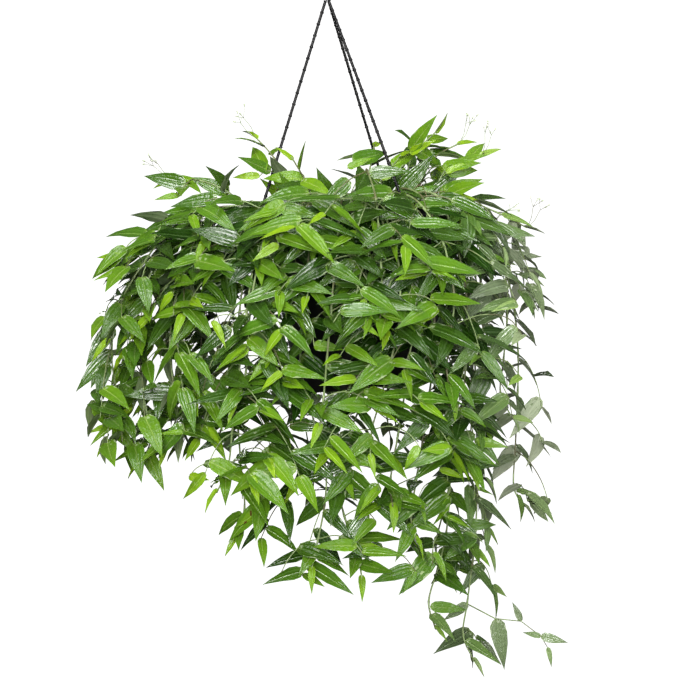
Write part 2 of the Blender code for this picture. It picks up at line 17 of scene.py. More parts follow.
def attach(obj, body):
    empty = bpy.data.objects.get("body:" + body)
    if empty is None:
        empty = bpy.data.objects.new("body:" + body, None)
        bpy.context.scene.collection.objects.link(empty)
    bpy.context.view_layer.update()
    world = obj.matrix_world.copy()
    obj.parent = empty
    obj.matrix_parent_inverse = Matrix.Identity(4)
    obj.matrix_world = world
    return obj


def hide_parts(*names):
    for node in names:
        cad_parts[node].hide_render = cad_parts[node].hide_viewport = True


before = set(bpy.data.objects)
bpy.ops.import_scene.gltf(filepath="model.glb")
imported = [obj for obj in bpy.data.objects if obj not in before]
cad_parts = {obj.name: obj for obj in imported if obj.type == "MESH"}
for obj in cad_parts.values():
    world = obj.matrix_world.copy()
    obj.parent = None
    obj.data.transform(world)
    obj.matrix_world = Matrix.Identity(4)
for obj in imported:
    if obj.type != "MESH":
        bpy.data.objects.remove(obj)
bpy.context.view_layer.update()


# Camera
# It looks level at the middle of the plant, from straight in front, so that the hook stays just
# above the picture's upper edge.
CAMERA_PLACE = (0.023, -1.35, -0.416)
CAMERA_LENS = 69.43
CAMERA_SENSOR = 36.0

bpy.ops.object.camera_add(location=CAMERA_PLACE, rotation=(math.radians(90), 0.0, 0.0))
camera = bpy.context.object
camera.name = "camera"
camera.data.lens = CAMERA_LENS
camera.data.sensor_width = CAMERA_SENSOR
bpy.context.scene.camera = camera
bpy.context.scene.view_settings.view_transform = "Standard"


# Studio
# A round cove of white board: a flat floor whose edge curves up into a wall on all sides. Three
# soft lamps hang above, in front and to the right, a fourth lights the back, and the room gives
# the rest of the light.
FLOOR_HEIGHT = -1.9
COVE_RADIUS = 5.0
COVE_WALL = 6.0
COVE_CURVE = 1.6
BOARD_WHITE = (0.9, 0.9, 0.9, 1.0)
ROOM_STRENGTH = 0.09
ROOM_FLOOR_LIGHT = (0.42, 0.43, 0.42, 1.0)
ROOM_CEILING_LIGHT = (1.25, 1.25, 1.22, 1.0)
BASKET_MIDDLE = Vector((0.0, 0.0, -0.40))
LAMPS = (
    ("lamp_above", (-0.30, -1.00, 0.90), 0.8, 20.0), ("lamp_front", (-0.1, -2.3, -0.10), 0.9, 58.0),
    ("lamp_right", (1.6, -0.9, -0.20), 0.9, 13.0), ("lamp_behind", (-0.5, 2.3, -0.20), 0.9, 30.0),
)

bpy.ops.object.select_all(action="DESELECT")
bpy.ops.mesh.primitive_cylinder_add(
    vertices=96, radius=COVE_RADIUS, depth=COVE_WALL,
    location=(0.0, 0.0, FLOOR_HEIGHT + COVE_WALL / 2),
)
cove = bpy.context.object
cove.name = "studio_cove"
bpy.ops.object.mode_set(mode="EDIT")
bpy.ops.mesh.select_mode(type="FACE")
bpy.ops.mesh.select_all(action="DESELECT")
bpy.ops.object.mode_set(mode="OBJECT")
for face in cove.data.polygons:
    face.select = face.normal.z > 0.9
bpy.ops.object.mode_set(mode="EDIT")
bpy.ops.mesh.delete(type="FACE")
bpy.ops.object.mode_set(mode="OBJECT")
cove_bevel = cove.modifiers.new("curve", "BEVEL")
cove_bevel.width = COVE_CURVE
cove_bevel.segments = 10
bpy.ops.object.modifier_apply(modifier="curve")
bpy.ops.object.shade_smooth()
white_board = bpy.data.materials.new("white_board")
white_board.use_nodes = True
board = white_board.node_tree.nodes["Principled BSDF"]
board.inputs["Base Color"].default_value = BOARD_WHITE
board.inputs["Roughness"].default_value = 0.9
board.inputs["Emission Color"].default_value = (1.0, 1.0, 1.0, 1.0)
board.inputs["Emission Strength"].default_value = 1.0
cove.data.materials.append(white_board)
cove.visible_diffuse = False
cove.visible_glossy = False
cove.visible_shadow = False

room = bpy.data.worlds.new("room")
bpy.context.scene.world = room
room.use_nodes = True
room_tree = room.node_tree
room_light = room_tree.nodes["Background"]
room_light.inputs["Strength"].default_value = ROOM_STRENGTH
room_way = room_tree.nodes.new("ShaderNodeTexCoord")
room_split = room_tree.nodes.new("ShaderNodeSeparateXYZ")
room_tree.links.new(room_way.outputs["Generated"], room_split.inputs[0])
room_ramp = room_tree.nodes.new("ShaderNodeValToRGB")
room_tree.links.new(room_split.outputs["Z"], room_ramp.inputs["Fac"])
room_ramp.color_ramp.elements[0].color = ROOM_FLOOR_LIGHT
room_ramp.color_ramp.elements[1].color = ROOM_CEILING_LIGHT
room_tree.links.new(room_ramp.outputs["Color"], room_light.inputs["Color"])

for name, place, width, power in LAMPS:
    bpy.ops.object.light_add(type="AREA", location=place)
    lamp = bpy.context.object
    lamp.name = name
    lamp.data.size = width
    lamp.data.energy = power
    lamp.rotation_euler = (BASKET_MIDDLE - Vector(place)).to_track_quat("-Z", "Y").to_euler()


# Hook and crown
# One moulding of black plastic: a round rod bent into an open hook, above a small tapered crown
# in which the three strands meet. The hook's inside top is where it hangs.
HOOK_INNER_RADIUS = 0.0125
HOOK_ROD_RADIUS = 0.0026
APEX_DROP = 0.062
CROWN_TOP_RADIUS = 0.0032
CROWN_FOOT_RADIUS = 0.0046
CROWN_HEIGHT = 0.015
CROWN_COLLAR = 0.004
CROWN_SHOULDER = 0.0012
CROWN_EDGE = 0.0008
CROWN_MIDDLE = 0.0006
CROWN_FOOT_DROP = 0.0044
HOOK_TIP_SHARE = 0.72
PLASTIC_BLACK = (0.004, 0.004, 0.0045, 1.0)
DUST_GREY = (0.060, 0.055, 0.046, 1.0)


def node(tree, kind, values=None, **settings):
    """A shader node with its settings, and its input values or the sockets that feed them."""
    made = tree.nodes.new(kind)
    for name, setting in settings.items():
        setattr(made, name, setting)
    for name, value in (values or {}).items():
        if isinstance(value, bpy.types.NodeSocket):
            tree.links.new(value, made.inputs[name])
        else:
            made.inputs[name].default_value = value
    return made


def maths(tree, operation, first, second=0.0):
    """The result of one sum."""
    return node(tree, "ShaderNodeMath", {0: first, 1: second}, operation=operation).outputs[0]


def stretch(tree, value, low, high, to_low=0.0, to_high=1.0):
    """Value moved from one range to another, and held inside it."""
    return node(tree, "ShaderNodeMapRange", {
        "Value": value, "From Min": low, "From Max": high, "To Min": to_low, "To Max": to_high,
    }).outputs["Result"]


def blend(tree, share, first, second):
    """One colour over another, by the share of the second."""
    return node(tree, "ShaderNodeMix", {0: share, 6: first, 7: second}, data_type="RGBA").outputs[2]


def noise(tree, place, scale, detail=3.0):
    """Soft cloudy patches, finer as the scale grows."""
    return node(tree, "ShaderNodeTexNoise", {
        "Vector": place, "Scale": scale, "Detail": detail,
    }).outputs["Fac"]


def relief(tree, shader, height, strength, depth):
    """A fine unevenness of the surface."""
    bump = node(tree, "ShaderNodeBump", {
        "Height": height, "Strength": strength, "Distance": depth,
    })
    tree.links.new(bump.outputs["Normal"], shader.inputs["Normal"])


def new_finish(name, roughness, viewport):
    """An empty finish: the material, its node tree, its shader and the place on the piece."""
    made = bpy.data.materials.new(name)
    made.use_nodes = True
    made.diffuse_color = viewport
    shader = made.node_tree.nodes["Principled BSDF"]
    shader.inputs["Roughness"].default_value = roughness
    place = node(made.node_tree, "ShaderNodeTexCoord").outputs["Object"]
    return made, made.node_tree, shader, place


def moulded_plastic(name, grain, dust):
    """Black plastic with a fine moulded grain, and dust where it has lain longest."""
    made, tree, shader, place = new_finish(name, 0.36, (0.02, 0.02, 0.02, 1.0))
    patches = noise(tree, place, 38.0)
    specks = noise(tree, place, grain, 2.0)
    dusty = maths(tree, "MULTIPLY", stretch(tree, patches, 0.48, 0.72), dust)
    colour = blend(tree, dusty, PLASTIC_BLACK, DUST_GREY)
    tree.links.new(colour, shader.inputs["Base Color"])
    shader.inputs["Specular IOR Level"].default_value = 0.32
    tree.links.new(stretch(tree, patches, 0.3, 0.7, 0.27, 0.50), shader.inputs["Roughness"])
    relief(tree, shader, specks, 0.25, 0.0002)
    return made


def smooth_route(points, steps=12):
    """A Catmull-Rom curve through the points, as a fine list of points."""
    ends = [points[0] * 2 - points[1]] + list(points) + [points[-1] * 2 - points[-2]]
    fine = []
    for before, start, end, after in zip(ends, ends[1:], ends[2:], ends[3:]):
        for step in range(steps):
            t = step / steps
            fine.append(0.5 * (
                2 * start + (end - before) * t
                + (2 * before - 5 * start + 4 * end - after) * t ** 2
                + (3 * start - before - 3 * end + after) * t ** 3
            ))
    fine.append(points[-1].copy())
    return fine


def coat(piece, finish):
    """Gives a piece this finish alone."""
    piece.data.materials.clear()
    piece.data.materials.append(finish)


def rods(name, routes, sides, finish=None):
    """Round rods along routes of (point, radius), as one mesh with closed ends, and its finish."""
    curve = bpy.data.curves.new(name, "CURVE")
    curve.dimensions = "3D"
    curve.bevel_depth = 1.0
    curve.bevel_resolution = (sides - 4) // 2
    curve.use_fill_caps = True
    for route in routes:
        spline = curve.splines.new("POLY")
        spline.points.add(len(route) - 1)
        for spot, (point, radius) in zip(spline.points, route):
            spot.co = (*point, 1.0)
            spot.radius = radius
    made = bpy.data.objects.new(name, curve)
    bpy.context.scene.collection.objects.link(made)
    select_only(made)
    bpy.ops.object.convert(target="MESH")
    bpy.ops.object.mode_set(mode="EDIT")
    bpy.ops.mesh.select_all(action="SELECT")
    bpy.ops.mesh.remove_doubles(threshold=0.00001)
    bpy.ops.mesh.normals_make_consistent(inside=False)
    bpy.ops.object.mode_set(mode="OBJECT")
    if finish:
        bpy.ops.object.shade_smooth()
        coat(made, finish)
    return made


def select_only(*wanted):
    """Selects these objects alone; the last one is the active one."""
    bpy.ops.object.select_all(action="DESELECT")
    for one in wanted:
        one.select_set(True)
    bpy.context.view_layer.objects.active = wanted[-1]


def joined(parts):
    """Joins objects into the last one of them."""
    select_only(*parts)
    bpy.ops.object.join()
    return bpy.context.object


def turned_ring(name, profile, sides):
    """A ring carried along a profile of (radius, height) by extruding and scaling it."""
    bpy.ops.object.select_all(action="DESELECT")
    radius, height = profile[0]
    bpy.ops.mesh.primitive_circle_add(vertices=sides, radius=radius, location=(0, 0, height),
                                      fill_type="NGON")
    made = bpy.context.object
    made.name = name
    bpy.ops.object.transform_apply(location=True)
    bpy.ops.object.mode_set(mode="EDIT")
    bpy.ops.mesh.select_mode(type="VERT")
    bpy.ops.mesh.select_all(action="SELECT")
    for (before, low), (after, high) in zip(profile, profile[1:]):
        bpy.ops.mesh.extrude_region_move(TRANSFORM_OT_translate={"value": (0, 0, high - low)})
        bpy.ops.transform.resize(value=(after / before, after / before, 1.0),
                                 center_override=(0, 0, high))
    bpy.ops.mesh.select_all(action="SELECT")
    bpy.ops.mesh.normals_make_consistent(inside=False)
    bpy.ops.object.mode_set(mode="OBJECT")
    return made


def apply_modifier(piece, kind, **settings):
    """Shapes a piece by one modifier, which is applied at once."""
    added = piece.modifiers.new(kind.lower(), kind)
    for name, setting in settings.items():
        setattr(added, name, setting)
    select_only(piece)
    bpy.ops.object.modifier_apply(modifier=added.name)


def seat(piece, name, slot, *nodes):
    """Names a finished piece and fixes it to the basket in the place of its CAD nodes."""
    piece.name = name
    piece.data.name = name
    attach(piece, "root")
    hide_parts(*nodes)


hook_centre = Vector((0.0, 0.0, -HOOK_INNER_RADIUS))
crown_foot = -APEX_DROP - CROWN_FOOT_DROP
crown_top = crown_foot + CROWN_HEIGHT
hook_way = [Vector((0.0, 0.0, crown_top - 0.003)), Vector((0.0, 0.0, crown_top + 0.005)),
            Vector((0.0035, 0.0, crown_top + 0.012))]
hook_way += [
    hook_centre + (HOOK_INNER_RADIUS + HOOK_ROD_RADIUS)
    * Vector((math.cos(math.radians(angle)), 0.0, math.sin(math.radians(angle))))
    for angle in range(-40, 201, 30)
]
hook_route = [(point, HOOK_ROD_RADIUS) for point in smooth_route(hook_way, 6)]
hook_route[-1] = (hook_route[-1][0], HOOK_ROD_RADIUS * HOOK_TIP_SHARE)
hook_rod = rods("hook_rod", [hook_route], 16)
crown = turned_ring("hook_and_crown", [
    (CROWN_MIDDLE, crown_top), (CROWN_TOP_RADIUS - CROWN_MIDDLE, crown_top),
    (CROWN_TOP_RADIUS, crown_top - CROWN_EDGE),
    (CROWN_FOOT_RADIUS - CROWN_EDGE, crown_foot + CROWN_COLLAR + CROWN_SHOULDER),
    (CROWN_FOOT_RADIUS, crown_foot + CROWN_COLLAR), (CROWN_FOOT_RADIUS, crown_foot + CROWN_EDGE),
    (CROWN_FOOT_RADIUS - CROWN_EDGE, crown_foot), (CROWN_MIDDLE, crown_foot),
], 48)
apply_modifier(crown, "BOOLEAN", operation="UNION", object=hook_rod)
bpy.data.objects.remove(hook_rod)
apply_modifier(crown, "BEVEL", width=0.0003, segments=2, angle_limit=math.radians(35))
bpy.ops.object.shade_smooth_by_angle(angle=math.radians(40))
strand_plastic = moulded_plastic("hanger_black_plastic", 2600.0, 0.15)
coat(crown, strand_plastic)
seat(crown, "hook_and_crown", "black_plastic", "hanger_hook")


# Three hanging strands
# Each is a strand of black plastic moulded as a tight twist of two cords, with a knuckle every
# twelve millimetres. It drops through a hole in the pot's rim, and a button below holds it.
STRAND_ANGLES = (181.0, -59.0, 61.0)
STRAND_RADIUS = 0.0016
STRAND_KNUCKLE_RADIUS = 0.0020
STRAND_KNUCKLE_PITCH = 0.012
STRAND_HOLE_REACH = 0.095
STRAND_END_RADIUS = 0.0028
TWIST_CORD_RADIUS = 0.00100
TWIST_PITCH = 0.006
TILT = math.radians(6.25)
APEX_TO_RIM = 0.227
RIM_THICKNESS = 0.002
CLEARANCE = 0.0003

hanger_frame = Matrix.Translation((0.0, 0.0, -APEX_DROP)) @ Matrix.Rotation(-TILT, 4, "Y")
pot_frame = hanger_frame @ Matrix.Translation((0.0, 0.0, -APEX_TO_RIM))


def twisted_cord(top, run, length, phase):
    """One of the two cords that a strand is twisted from, which ends inside the other parts."""
    side_way = run.orthogonal().normalized()
    up_way = run.cross(side_way)
    reach = STRAND_RADIUS - TWIST_CORD_RADIUS
    steps = round(length / TWIST_PITCH * 8)
    route = []
    for step in range(steps + 1):
        gone = length * step / steps
        turn = 2 * math.pi * gone / TWIST_PITCH + phase
        around = side_way * math.cos(turn) + up_way * math.sin(turn)
        route.append((top + run * gone + around * reach, TWIST_CORD_RADIUS))
    return route


def level_way(turn):
    """The level direction at an angle about the upright axis."""
    return Vector((math.cos(turn), math.sin(turn), 0.0))


def ball(place, radius, sides, rings, stretched, way):
    """A ball stretched by its own axes, with its upper pole turned to point a way."""
    bpy.ops.object.select_all(action="DESELECT")
    bpy.ops.mesh.primitive_uv_sphere_add(segments=sides, ring_count=rings, radius=radius,
                                         location=place)
    made = bpy.context.object
    made.rotation_euler = way.to_track_quat("Z", "Y").to_euler()
    made.scale = stretched
    bpy.ops.object.transform_apply(location=True, rotation=True, scale=True)
    return made


for number, angle in enumerate(STRAND_ANGLES, 1):
    way = level_way(math.radians(angle))
    down = Vector((0.0, 0.0, -1.0))
    bend = way * STRAND_HOLE_REACH + down * (APEX_TO_RIM - 0.006)
    run = bend.normalized()
    slope = (Matrix.Rotation(-TILT, 3, "Y") @ run).angle(down)
    top = run * (CROWN_FOOT_DROP + CLEARANCE + STRAND_RADIUS * math.sin(slope)) / math.cos(slope)
    length = (bend - top).length
    twist = [twisted_cord(top, run, length, phase) for phase in (0.0, math.pi)]
    core = [(top, STRAND_RADIUS * 0.88), (bend, STRAND_RADIUS * 0.88)]
    under_rim = APEX_TO_RIM + RIM_THICKNESS + CLEARANCE
    end = [(way * STRAND_HOLE_REACH + down * drop, radius) for drop, radius in (
        (APEX_TO_RIM - 0.0065, STRAND_RADIUS * 0.7), (APEX_TO_RIM - 0.0055, STRAND_RADIUS),
        (under_rim + 0.0001, STRAND_RADIUS), (under_rim + 0.0006, STRAND_END_RADIUS * 0.9),
        (under_rim + 0.0010, STRAND_END_RADIUS), (under_rim + 0.0022, STRAND_END_RADIUS),
        (under_rim + 0.0029, STRAND_END_RADIUS * 0.8), (under_rim + 0.0032, STRAND_END_RADIUS * 0.5),
    )]
    knuckles = [
        ball(top + run * place * STRAND_KNUCKLE_PITCH, STRAND_KNUCKLE_RADIUS, 12, 8,
             (1.0, 1.0, 0.85), run)
        for place in range(1, int((length - 0.008) / STRAND_KNUCKLE_PITCH) + 1)
    ]
    strand = joined(knuckles + [rods("strand", twist + [core, end], 8)])
    strand.data.transform(hanger_frame)
    bpy.ops.object.shade_smooth_by_angle(angle=math.radians(50))
    coat(strand, strand_plastic)
    seat(strand, f"twisted_strand_{number}", "black_plastic", f"hanger_strand_{number}")


# Pot
# A thin nursery pot of black plastic, moulded in one: a tapered wall with a stepped band under
# its turned-down rim, a footed floor with drain holes, and three holes in the rim for the strands.
RIM_RADIUS = 0.100
RIM_LIP = 0.012
WALL = 0.0016
WALL_TOP_RADIUS = 0.0915
WALL_FOOT_RADIUS = 0.070
POT_HEIGHT = 0.165
FLOOR_THICKNESS = 0.002
FOOT_HEIGHT = 0.002
FOOT_WIDTH = 0.006
DRAIN_HOLES = 4
DRAIN_HOLE_RADIUS = 0.004
DRAIN_HOLE_REACH = 0.042
STRAND_HOLE_RADIUS = 0.0021

floor_under = -POT_HEIGHT + FOOT_HEIGHT
floor_top = floor_under + FLOOR_THICKNESS
pot = turned_ring("pot_shell", [
    (0.002, floor_top), (WALL_FOOT_RADIUS - WALL - 0.004, floor_top),
    (WALL_FOOT_RADIUS - WALL - 0.001, floor_top + 0.0009),
    (WALL_FOOT_RADIUS - WALL, floor_top + 0.003), (WALL_TOP_RADIUS - WALL, 0.0),
    (RIM_RADIUS - 0.001, 0.0), (RIM_RADIUS, -0.001), (RIM_RADIUS, -RIM_LIP),
    (RIM_RADIUS - WALL, -RIM_LIP), (RIM_RADIUS - WALL, -RIM_THICKNESS),
    (WALL_TOP_RADIUS, -RIM_THICKNESS), (WALL_TOP_RADIUS - 0.0046, -0.0375),
    (WALL_TOP_RADIUS - 0.0056, -0.0385), (WALL_FOOT_RADIUS, -POT_HEIGHT + 0.001),
    (WALL_FOOT_RADIUS - 0.001, -POT_HEIGHT), (WALL_FOOT_RADIUS - FOOT_WIDTH, -POT_HEIGHT),
    (WALL_FOOT_RADIUS - FOOT_WIDTH, floor_under), (0.002, floor_under),
], 96)


def drill(piece, radius, height, place):
    """Cuts a round upright hole through a piece."""
    bpy.ops.object.select_all(action="DESELECT")
    bpy.ops.mesh.primitive_cylinder_add(vertices=24, radius=radius, depth=height, location=place)
    bit = bpy.context.object
    apply_modifier(piece, "BOOLEAN", operation="DIFFERENCE", object=bit)
    bpy.data.objects.remove(bit)


for angle in STRAND_ANGLES:
    turn = math.radians(angle)
    drill(pot, STRAND_HOLE_RADIUS, 0.009,
          (STRAND_HOLE_REACH * math.cos(turn), STRAND_HOLE_REACH * math.sin(turn), -0.0015))
for number in range(DRAIN_HOLES):
    turn = 2 * math.pi * (number + 0.5) / DRAIN_HOLES
    drill(pot, DRAIN_HOLE_RADIUS, 0.008,
          (DRAIN_HOLE_REACH * math.cos(turn), DRAIN_HOLE_REACH * math.sin(turn), floor_under))
apply_modifier(pot, "BEVEL", width=0.0003, segments=2, angle_limit=math.radians(40))
pot.data.transform(pot_frame)
bpy.ops.object.shade_smooth_by_angle(angle=math.radians(40))
coat(pot, moulded_plastic("pot_black_plastic", 1400.0, 0.45))
seat(pot, "moulded_pot", "black_plastic", "pot")


# Potting soil
# Dark peat fills the pot to two centimetres below the rim, loose and lumpy on top, with crumbs
# of bark and a few white grains of perlite pressed into it.
SOIL_TOP = -0.020
SOIL_LUMP = 0.00132
SOIL_CRUMBS = 150
PEAT_BLACK = (0.012, 0.008, 0.005, 1.0)
PEAT_BROWN = (0.055, 0.034, 0.019, 1.0)
BARK_BROWN = (0.120, 0.066, 0.032, 1.0)
PERLITE_WHITE = (0.50, 0.48, 0.43, 1.0)


def inner_wall_radius(height):
    """The pot wall's inner radius at a height below the rim."""
    low = floor_top + 0.003
    return WALL_FOOT_RADIUS - WALL + (height - low) / -low * (WALL_TOP_RADIUS - WALL_FOOT_RADIUS)


def potting_soil_finish():
    """Damp brown peat with paler bark in it, and a few white grains."""
    made, tree, shader, place = new_finish("potting_soil", 0.95, (0.04, 0.03, 0.02, 1.0))
    crumbs = node(tree, "ShaderNodeTexVoronoi", {"Vector": place, "Scale": 420.0})
    lumps = noise(tree, place, 150.0, 6.0)
    dark = blend(tree, lumps, PEAT_BLACK, PEAT_BROWN)
    bark = blend(tree, stretch(tree, noise(tree, place, 260.0), 0.56, 0.64), dark, BARK_BROWN)
    grain = noise(tree, place, 520.0, 1.0)
    mixed = blend(tree, stretch(tree, grain, 0.72, 0.75), bark, PERLITE_WHITE)
    tree.links.new(mixed, shader.inputs["Base Color"])
    height = maths(tree, "ADD", lumps, crumbs.outputs["Distance"])
    relief(tree, shader, height, 0.9, 0.0015)
    return made


soil_bottom = floor_top + 0.003 + CLEARANCE
soil_rng = random.Random(7)
soil_side = [
    (inner_wall_radius(height) - 2 * CLEARANCE, height)
    for height in (soil_bottom, -0.12, -0.08, -0.045, SOIL_TOP - 0.002)
]
soil_surface = [(soil_side[-1][0] * share, SOIL_TOP) for share in
                (0.985, 0.93, 0.86, 0.78, 0.70, 0.62, 0.54, 0.46, 0.38, 0.30, 0.22, 0.14, 0.07, 0.02)]
soil = turned_ring("soil", [(0.004, soil_bottom)] + soil_side + soil_surface, 72)
for corner in soil.data.vertices:
    if corner.co.z > SOIL_TOP - 0.001:
        wave = math.sin(corner.co.x * 190) * math.cos(corner.co.y * 160)
        corner.co.z += SOIL_LUMP * (soil_rng.uniform(-1, 1) * 0.5 + wave)


def soil_crumb(place, size):
    """A broken crumb of bark or peat."""
    bpy.ops.object.select_all(action="DESELECT")
    bpy.ops.mesh.primitive_ico_sphere_add(subdivisions=1, radius=size, location=place)
    made = bpy.context.object
    made.scale = (soil_rng.uniform(0.7, 1.5), soil_rng.uniform(0.6, 1.0), soil_rng.uniform(0.35, 0.7))
    made.rotation_euler = (soil_rng.uniform(-0.4, 0.4), soil_rng.uniform(-0.4, 0.4),
                           soil_rng.uniform(0, 6.28))
    bpy.ops.object.transform_apply(location=True, rotation=True, scale=True)
    for corner in made.data.vertices:
        corner.co += Vector([soil_rng.uniform(-0.2, 0.2) * size for axis in range(3)])
    return made


crumbs = []
for number in range(SOIL_CRUMBS):
    reach = (soil_side[-1][0] - 0.005) * math.sqrt(soil_rng.random())
    turn = soil_rng.uniform(0, 2 * math.pi)
    crumbs.append(soil_crumb((reach * math.cos(turn), reach * math.sin(turn), SOIL_TOP + 0.0008),
                             soil_rng.uniform(0.0012, 0.0032)))
soil = joined(crumbs + [soil])
soil.data.transform(pot_frame)
bpy.ops.object.shade_smooth_by_angle(angle=math.radians(45))
coat(soil, potting_soil_finish())
seat(soil, "peat_and_bark", "potting_soil", "potting_soil")


# Where the stems run
# Every stem roots in the soil, climbs over the rim, arches out and hangs down. Each is bent until
# it is clear of the pot, the strands and the other stems.
STEM_ROOT_RADIUS = 0.0011
STEM_TIP_RADIUS = 0.0008
STEM_DEPTH = 0.012
STEM_GROUND = 0.004
STEM_CLEARANCE = 0.0006
STEM_SWAY = 0.012
STEM_WANDER = 0.16
STEM_WANDER_MOST = 0.045
ROOT_MARGIN = 0.012
SPARE_ROOTS = 4
CREST_LIFT = 0.003
CREST_LIFT_PER_REACH = 0.08
CREST_OUTSIDE_RIM = 0.006
HANGING_REACH = 0.126
SHORT_DROP = 0.07
MIDDLE_DROP = 0.16
LONG_DROP = 0.30
TIP_CURL = 0.012
INTERNODE = 0.038
BARE_FOOT = 0.052
BARE_FOOT_RISING = 0.030
TIP_LEAVES = (0.030, 0.015, 0.004)
LEAF_FORWARD = 0.005
ROUTE_TRIES = 240
ROUTE_TURN_STEP = 0.5
ROUTE_TURN_MOST = 10.0
ROUTE_LIFT_STEP = 0.0004
ROUTE_LIFT_MOST = 0.03

# Where each spray ends: compass angle about the pot in degrees, with -90 towards the viewer,
# reach from the pot's axis, and drop below the rim, both in metres. A rise is a negative drop.
RISING = -0.02
RISING_SPRAYS = (
    (168, 0.100, -0.088), (-150, 0.068, -0.060), (177, 0.185, -0.040), (62, 0.050, -0.084),
    (-34, 0.058, -0.062), (2, 0.086, -0.092), (12, 0.112, -0.082), (-6, 0.130, -0.064),
)
LEFT_SPRAYS = (
    (180, 0.172, 0.020), (170, 0.186, 0.080), (-160, 0.190, 0.125), (-166, 0.216, 0.185),
    (-170, 0.240, 0.218), (-150, 0.198, 0.220), (-160, 0.214, 0.238), (-130, 0.188, 0.256),
    (-140, 0.180, 0.066),
)
FRONT_SPRAYS = (
    (-113, 0.182, 0.032), (-103, 0.195, 0.086), (-122, 0.190, 0.176), (-98, 0.190, 0.195),
    (-85, 0.180, 0.222), (-78, 0.182, 0.036), (-82, 0.200, 0.115), (-57, 0.172, 0.058),
    (-61, 0.184, 0.172), (-46, 0.155, 0.237),
)
RIGHT_SPRAYS = (
    (14, 0.150, -0.002), (1, 0.176, 0.006), (-14, 0.145, 0.040), (-5, 0.174, 0.080),
    (14, 0.150, 0.125), (-2, 0.160, 0.196), (13, 0.184, 0.290),
)
LONG_SPRAYS = (
    (-28, 0.102, 0.345), (-20, 0.126, 0.430), (-44, 0.110, 0.392), (-65, 0.140, 0.300),
    (-76, 0.150, 0.268),
)
LONE_SPRAYS = (
    (-86, 0.135, 0.335), (-104, 0.150, 0.325), (-122, 0.160, 0.302),
)
BACK_SPRAYS = (
    (46, 0.160, 0.150), (62, 0.160, 0.060), (76, 0.185, 0.230), (92, 0.195, 0.110),
    (106, 0.160, 0.290), (122, 0.190, 0.180), (138, 0.180, 0.050), (150, 0.185, 0.230),
)
SPRAYS = (RISING_SPRAYS + LEFT_SPRAYS + FRONT_SPRAYS + RIGHT_SPRAYS + LONG_SPRAYS + LONE_SPRAYS
          + BACK_SPRAYS)


def root_places(count):
    """Evenly spread rooting places on the soil, from the middle outwards."""
    golden = math.pi * (3 - math.sqrt(5))
    outer = WALL_TOP_RADIUS - WALL - ROOT_MARGIN
    return [
        (outer * math.sqrt((n + 0.5) / count) * math.cos(n * golden),
         outer * math.sqrt((n + 0.5) / count) * math.sin(n * golden))
        for n in range(count)
    ]


def wanted_root(azimuth, reach, drop):
    """Sprays that reach furthest or rise root near the middle, those that hug the pot outside."""
    if drop < RISING:
        radius = 0.015 + 0.25 * reach
    else:
        radius = max(0.018, 0.105 - 0.38 * reach)
    return radius * math.cos(azimuth), radius * math.sin(azimuth)


def choose_roots(sprays):
    """Gives each spray the free rooting place nearest to the one that it wants."""
    free = root_places(len(sprays) + SPARE_ROOTS)
    chosen = [None] * len(sprays)
    order = sorted(range(len(sprays)), key=lambda n: (sprays[n][1], n))
    for number in order:
        azimuth, reach, drop = sprays[number]
        want = wanted_root(math.radians(azimuth), reach, drop)
        near = min(free, key=lambda place: math.dist(place, want))
        free.remove(near)
        chosen[number] = near
    return chosen, free


def spray_route(spray, root, rng, extra_lift):
    """The smooth path of a stem: up out of the soil, over the rim, and out and down."""
    azimuth, reach, drop = spray
    rim = pot_frame.translation
    turn = math.radians(azimuth)
    out = level_way(turn)
    rim_height = rim.z + math.sin(TILT) * math.cos(turn) * RIM_RADIUS
    upright = pot_frame.to_3x3() @ Vector((0.0, 0.0, 1.0))
    foot = pot_frame @ Vector((root[0], root[1], SOIL_TOP - STEM_DEPTH))
    ground = foot + upright * (STEM_DEPTH + STEM_GROUND)
    tip = Vector((rim.x, rim.y, 0.0)) + out * reach
    tip.z = rim.z - drop
    start_reach = (ground - rim).dot(out)
    sideways = Vector((-out.y, out.x, 0.0))
    sway = sideways * rng.uniform(-1, 1) * STEM_SWAY
    most = max(0.0, min(STEM_WANDER_MOST, STEM_WANDER * drop))
    wander = sideways * rng.uniform(-0.5, 0.5) * most

    def at(radius, height, share=1.0, drift=0.0):
        """The route's place at a radius and a height, swayed and wandering to the side."""
        place = Vector((rim.x, rim.y, 0.0)) + out * radius + sway * share + wander * drift
        place.z = height
        return place

    if drop < RISING:
        middle = ground.lerp(tip, 0.45) + upright * (0.022 + extra_lift) + sway * 0.6
        late = ground.lerp(tip, 0.8) + upright * (0.016 + extra_lift) + sway * 0.4
        return foot, smooth_route([ground, middle, late, tip])

    lift = CREST_LIFT + CREST_LIFT_PER_REACH * max(0.0, reach - RIM_RADIUS)
    lift += rng.uniform(-0.004, 0.008) + extra_lift
    over = RIM_RADIUS + CREST_OUTSIDE_RIM + 0.10 * max(0.0, reach - 0.12)
    over += rng.uniform(0.0, 0.006)
    wide = max(reach * 0.98, HANGING_REACH)
    points = [ground, at(start_reach * 0.6 + over * 0.4, rim_height + lift * 0.75, 0.4),
              at(over, rim_height + lift, 0.7)]
    if drop > SHORT_DROP:
        points.append(at(over * 0.45 + wide * 0.55, rim_height - 0.020 + lift * 0.6, drift=0.5))
    if drop > MIDDLE_DROP:
        points.append(at(wide, rim_height - 0.42 * drop, drift=1.0))
    if drop > LONG_DROP:
        points.append(at(wide * 0.5 + reach * 0.5, rim_height - 0.72 * drop, 0.5, -0.8))
    curl = TIP_CURL if drop > SHORT_DROP else TIP_CURL / 3
    points.append(tip - out * TIP_CURL + Vector((0.0, 0.0, curl)))
    points.append(tip)
    return foot, smooth_route(points)


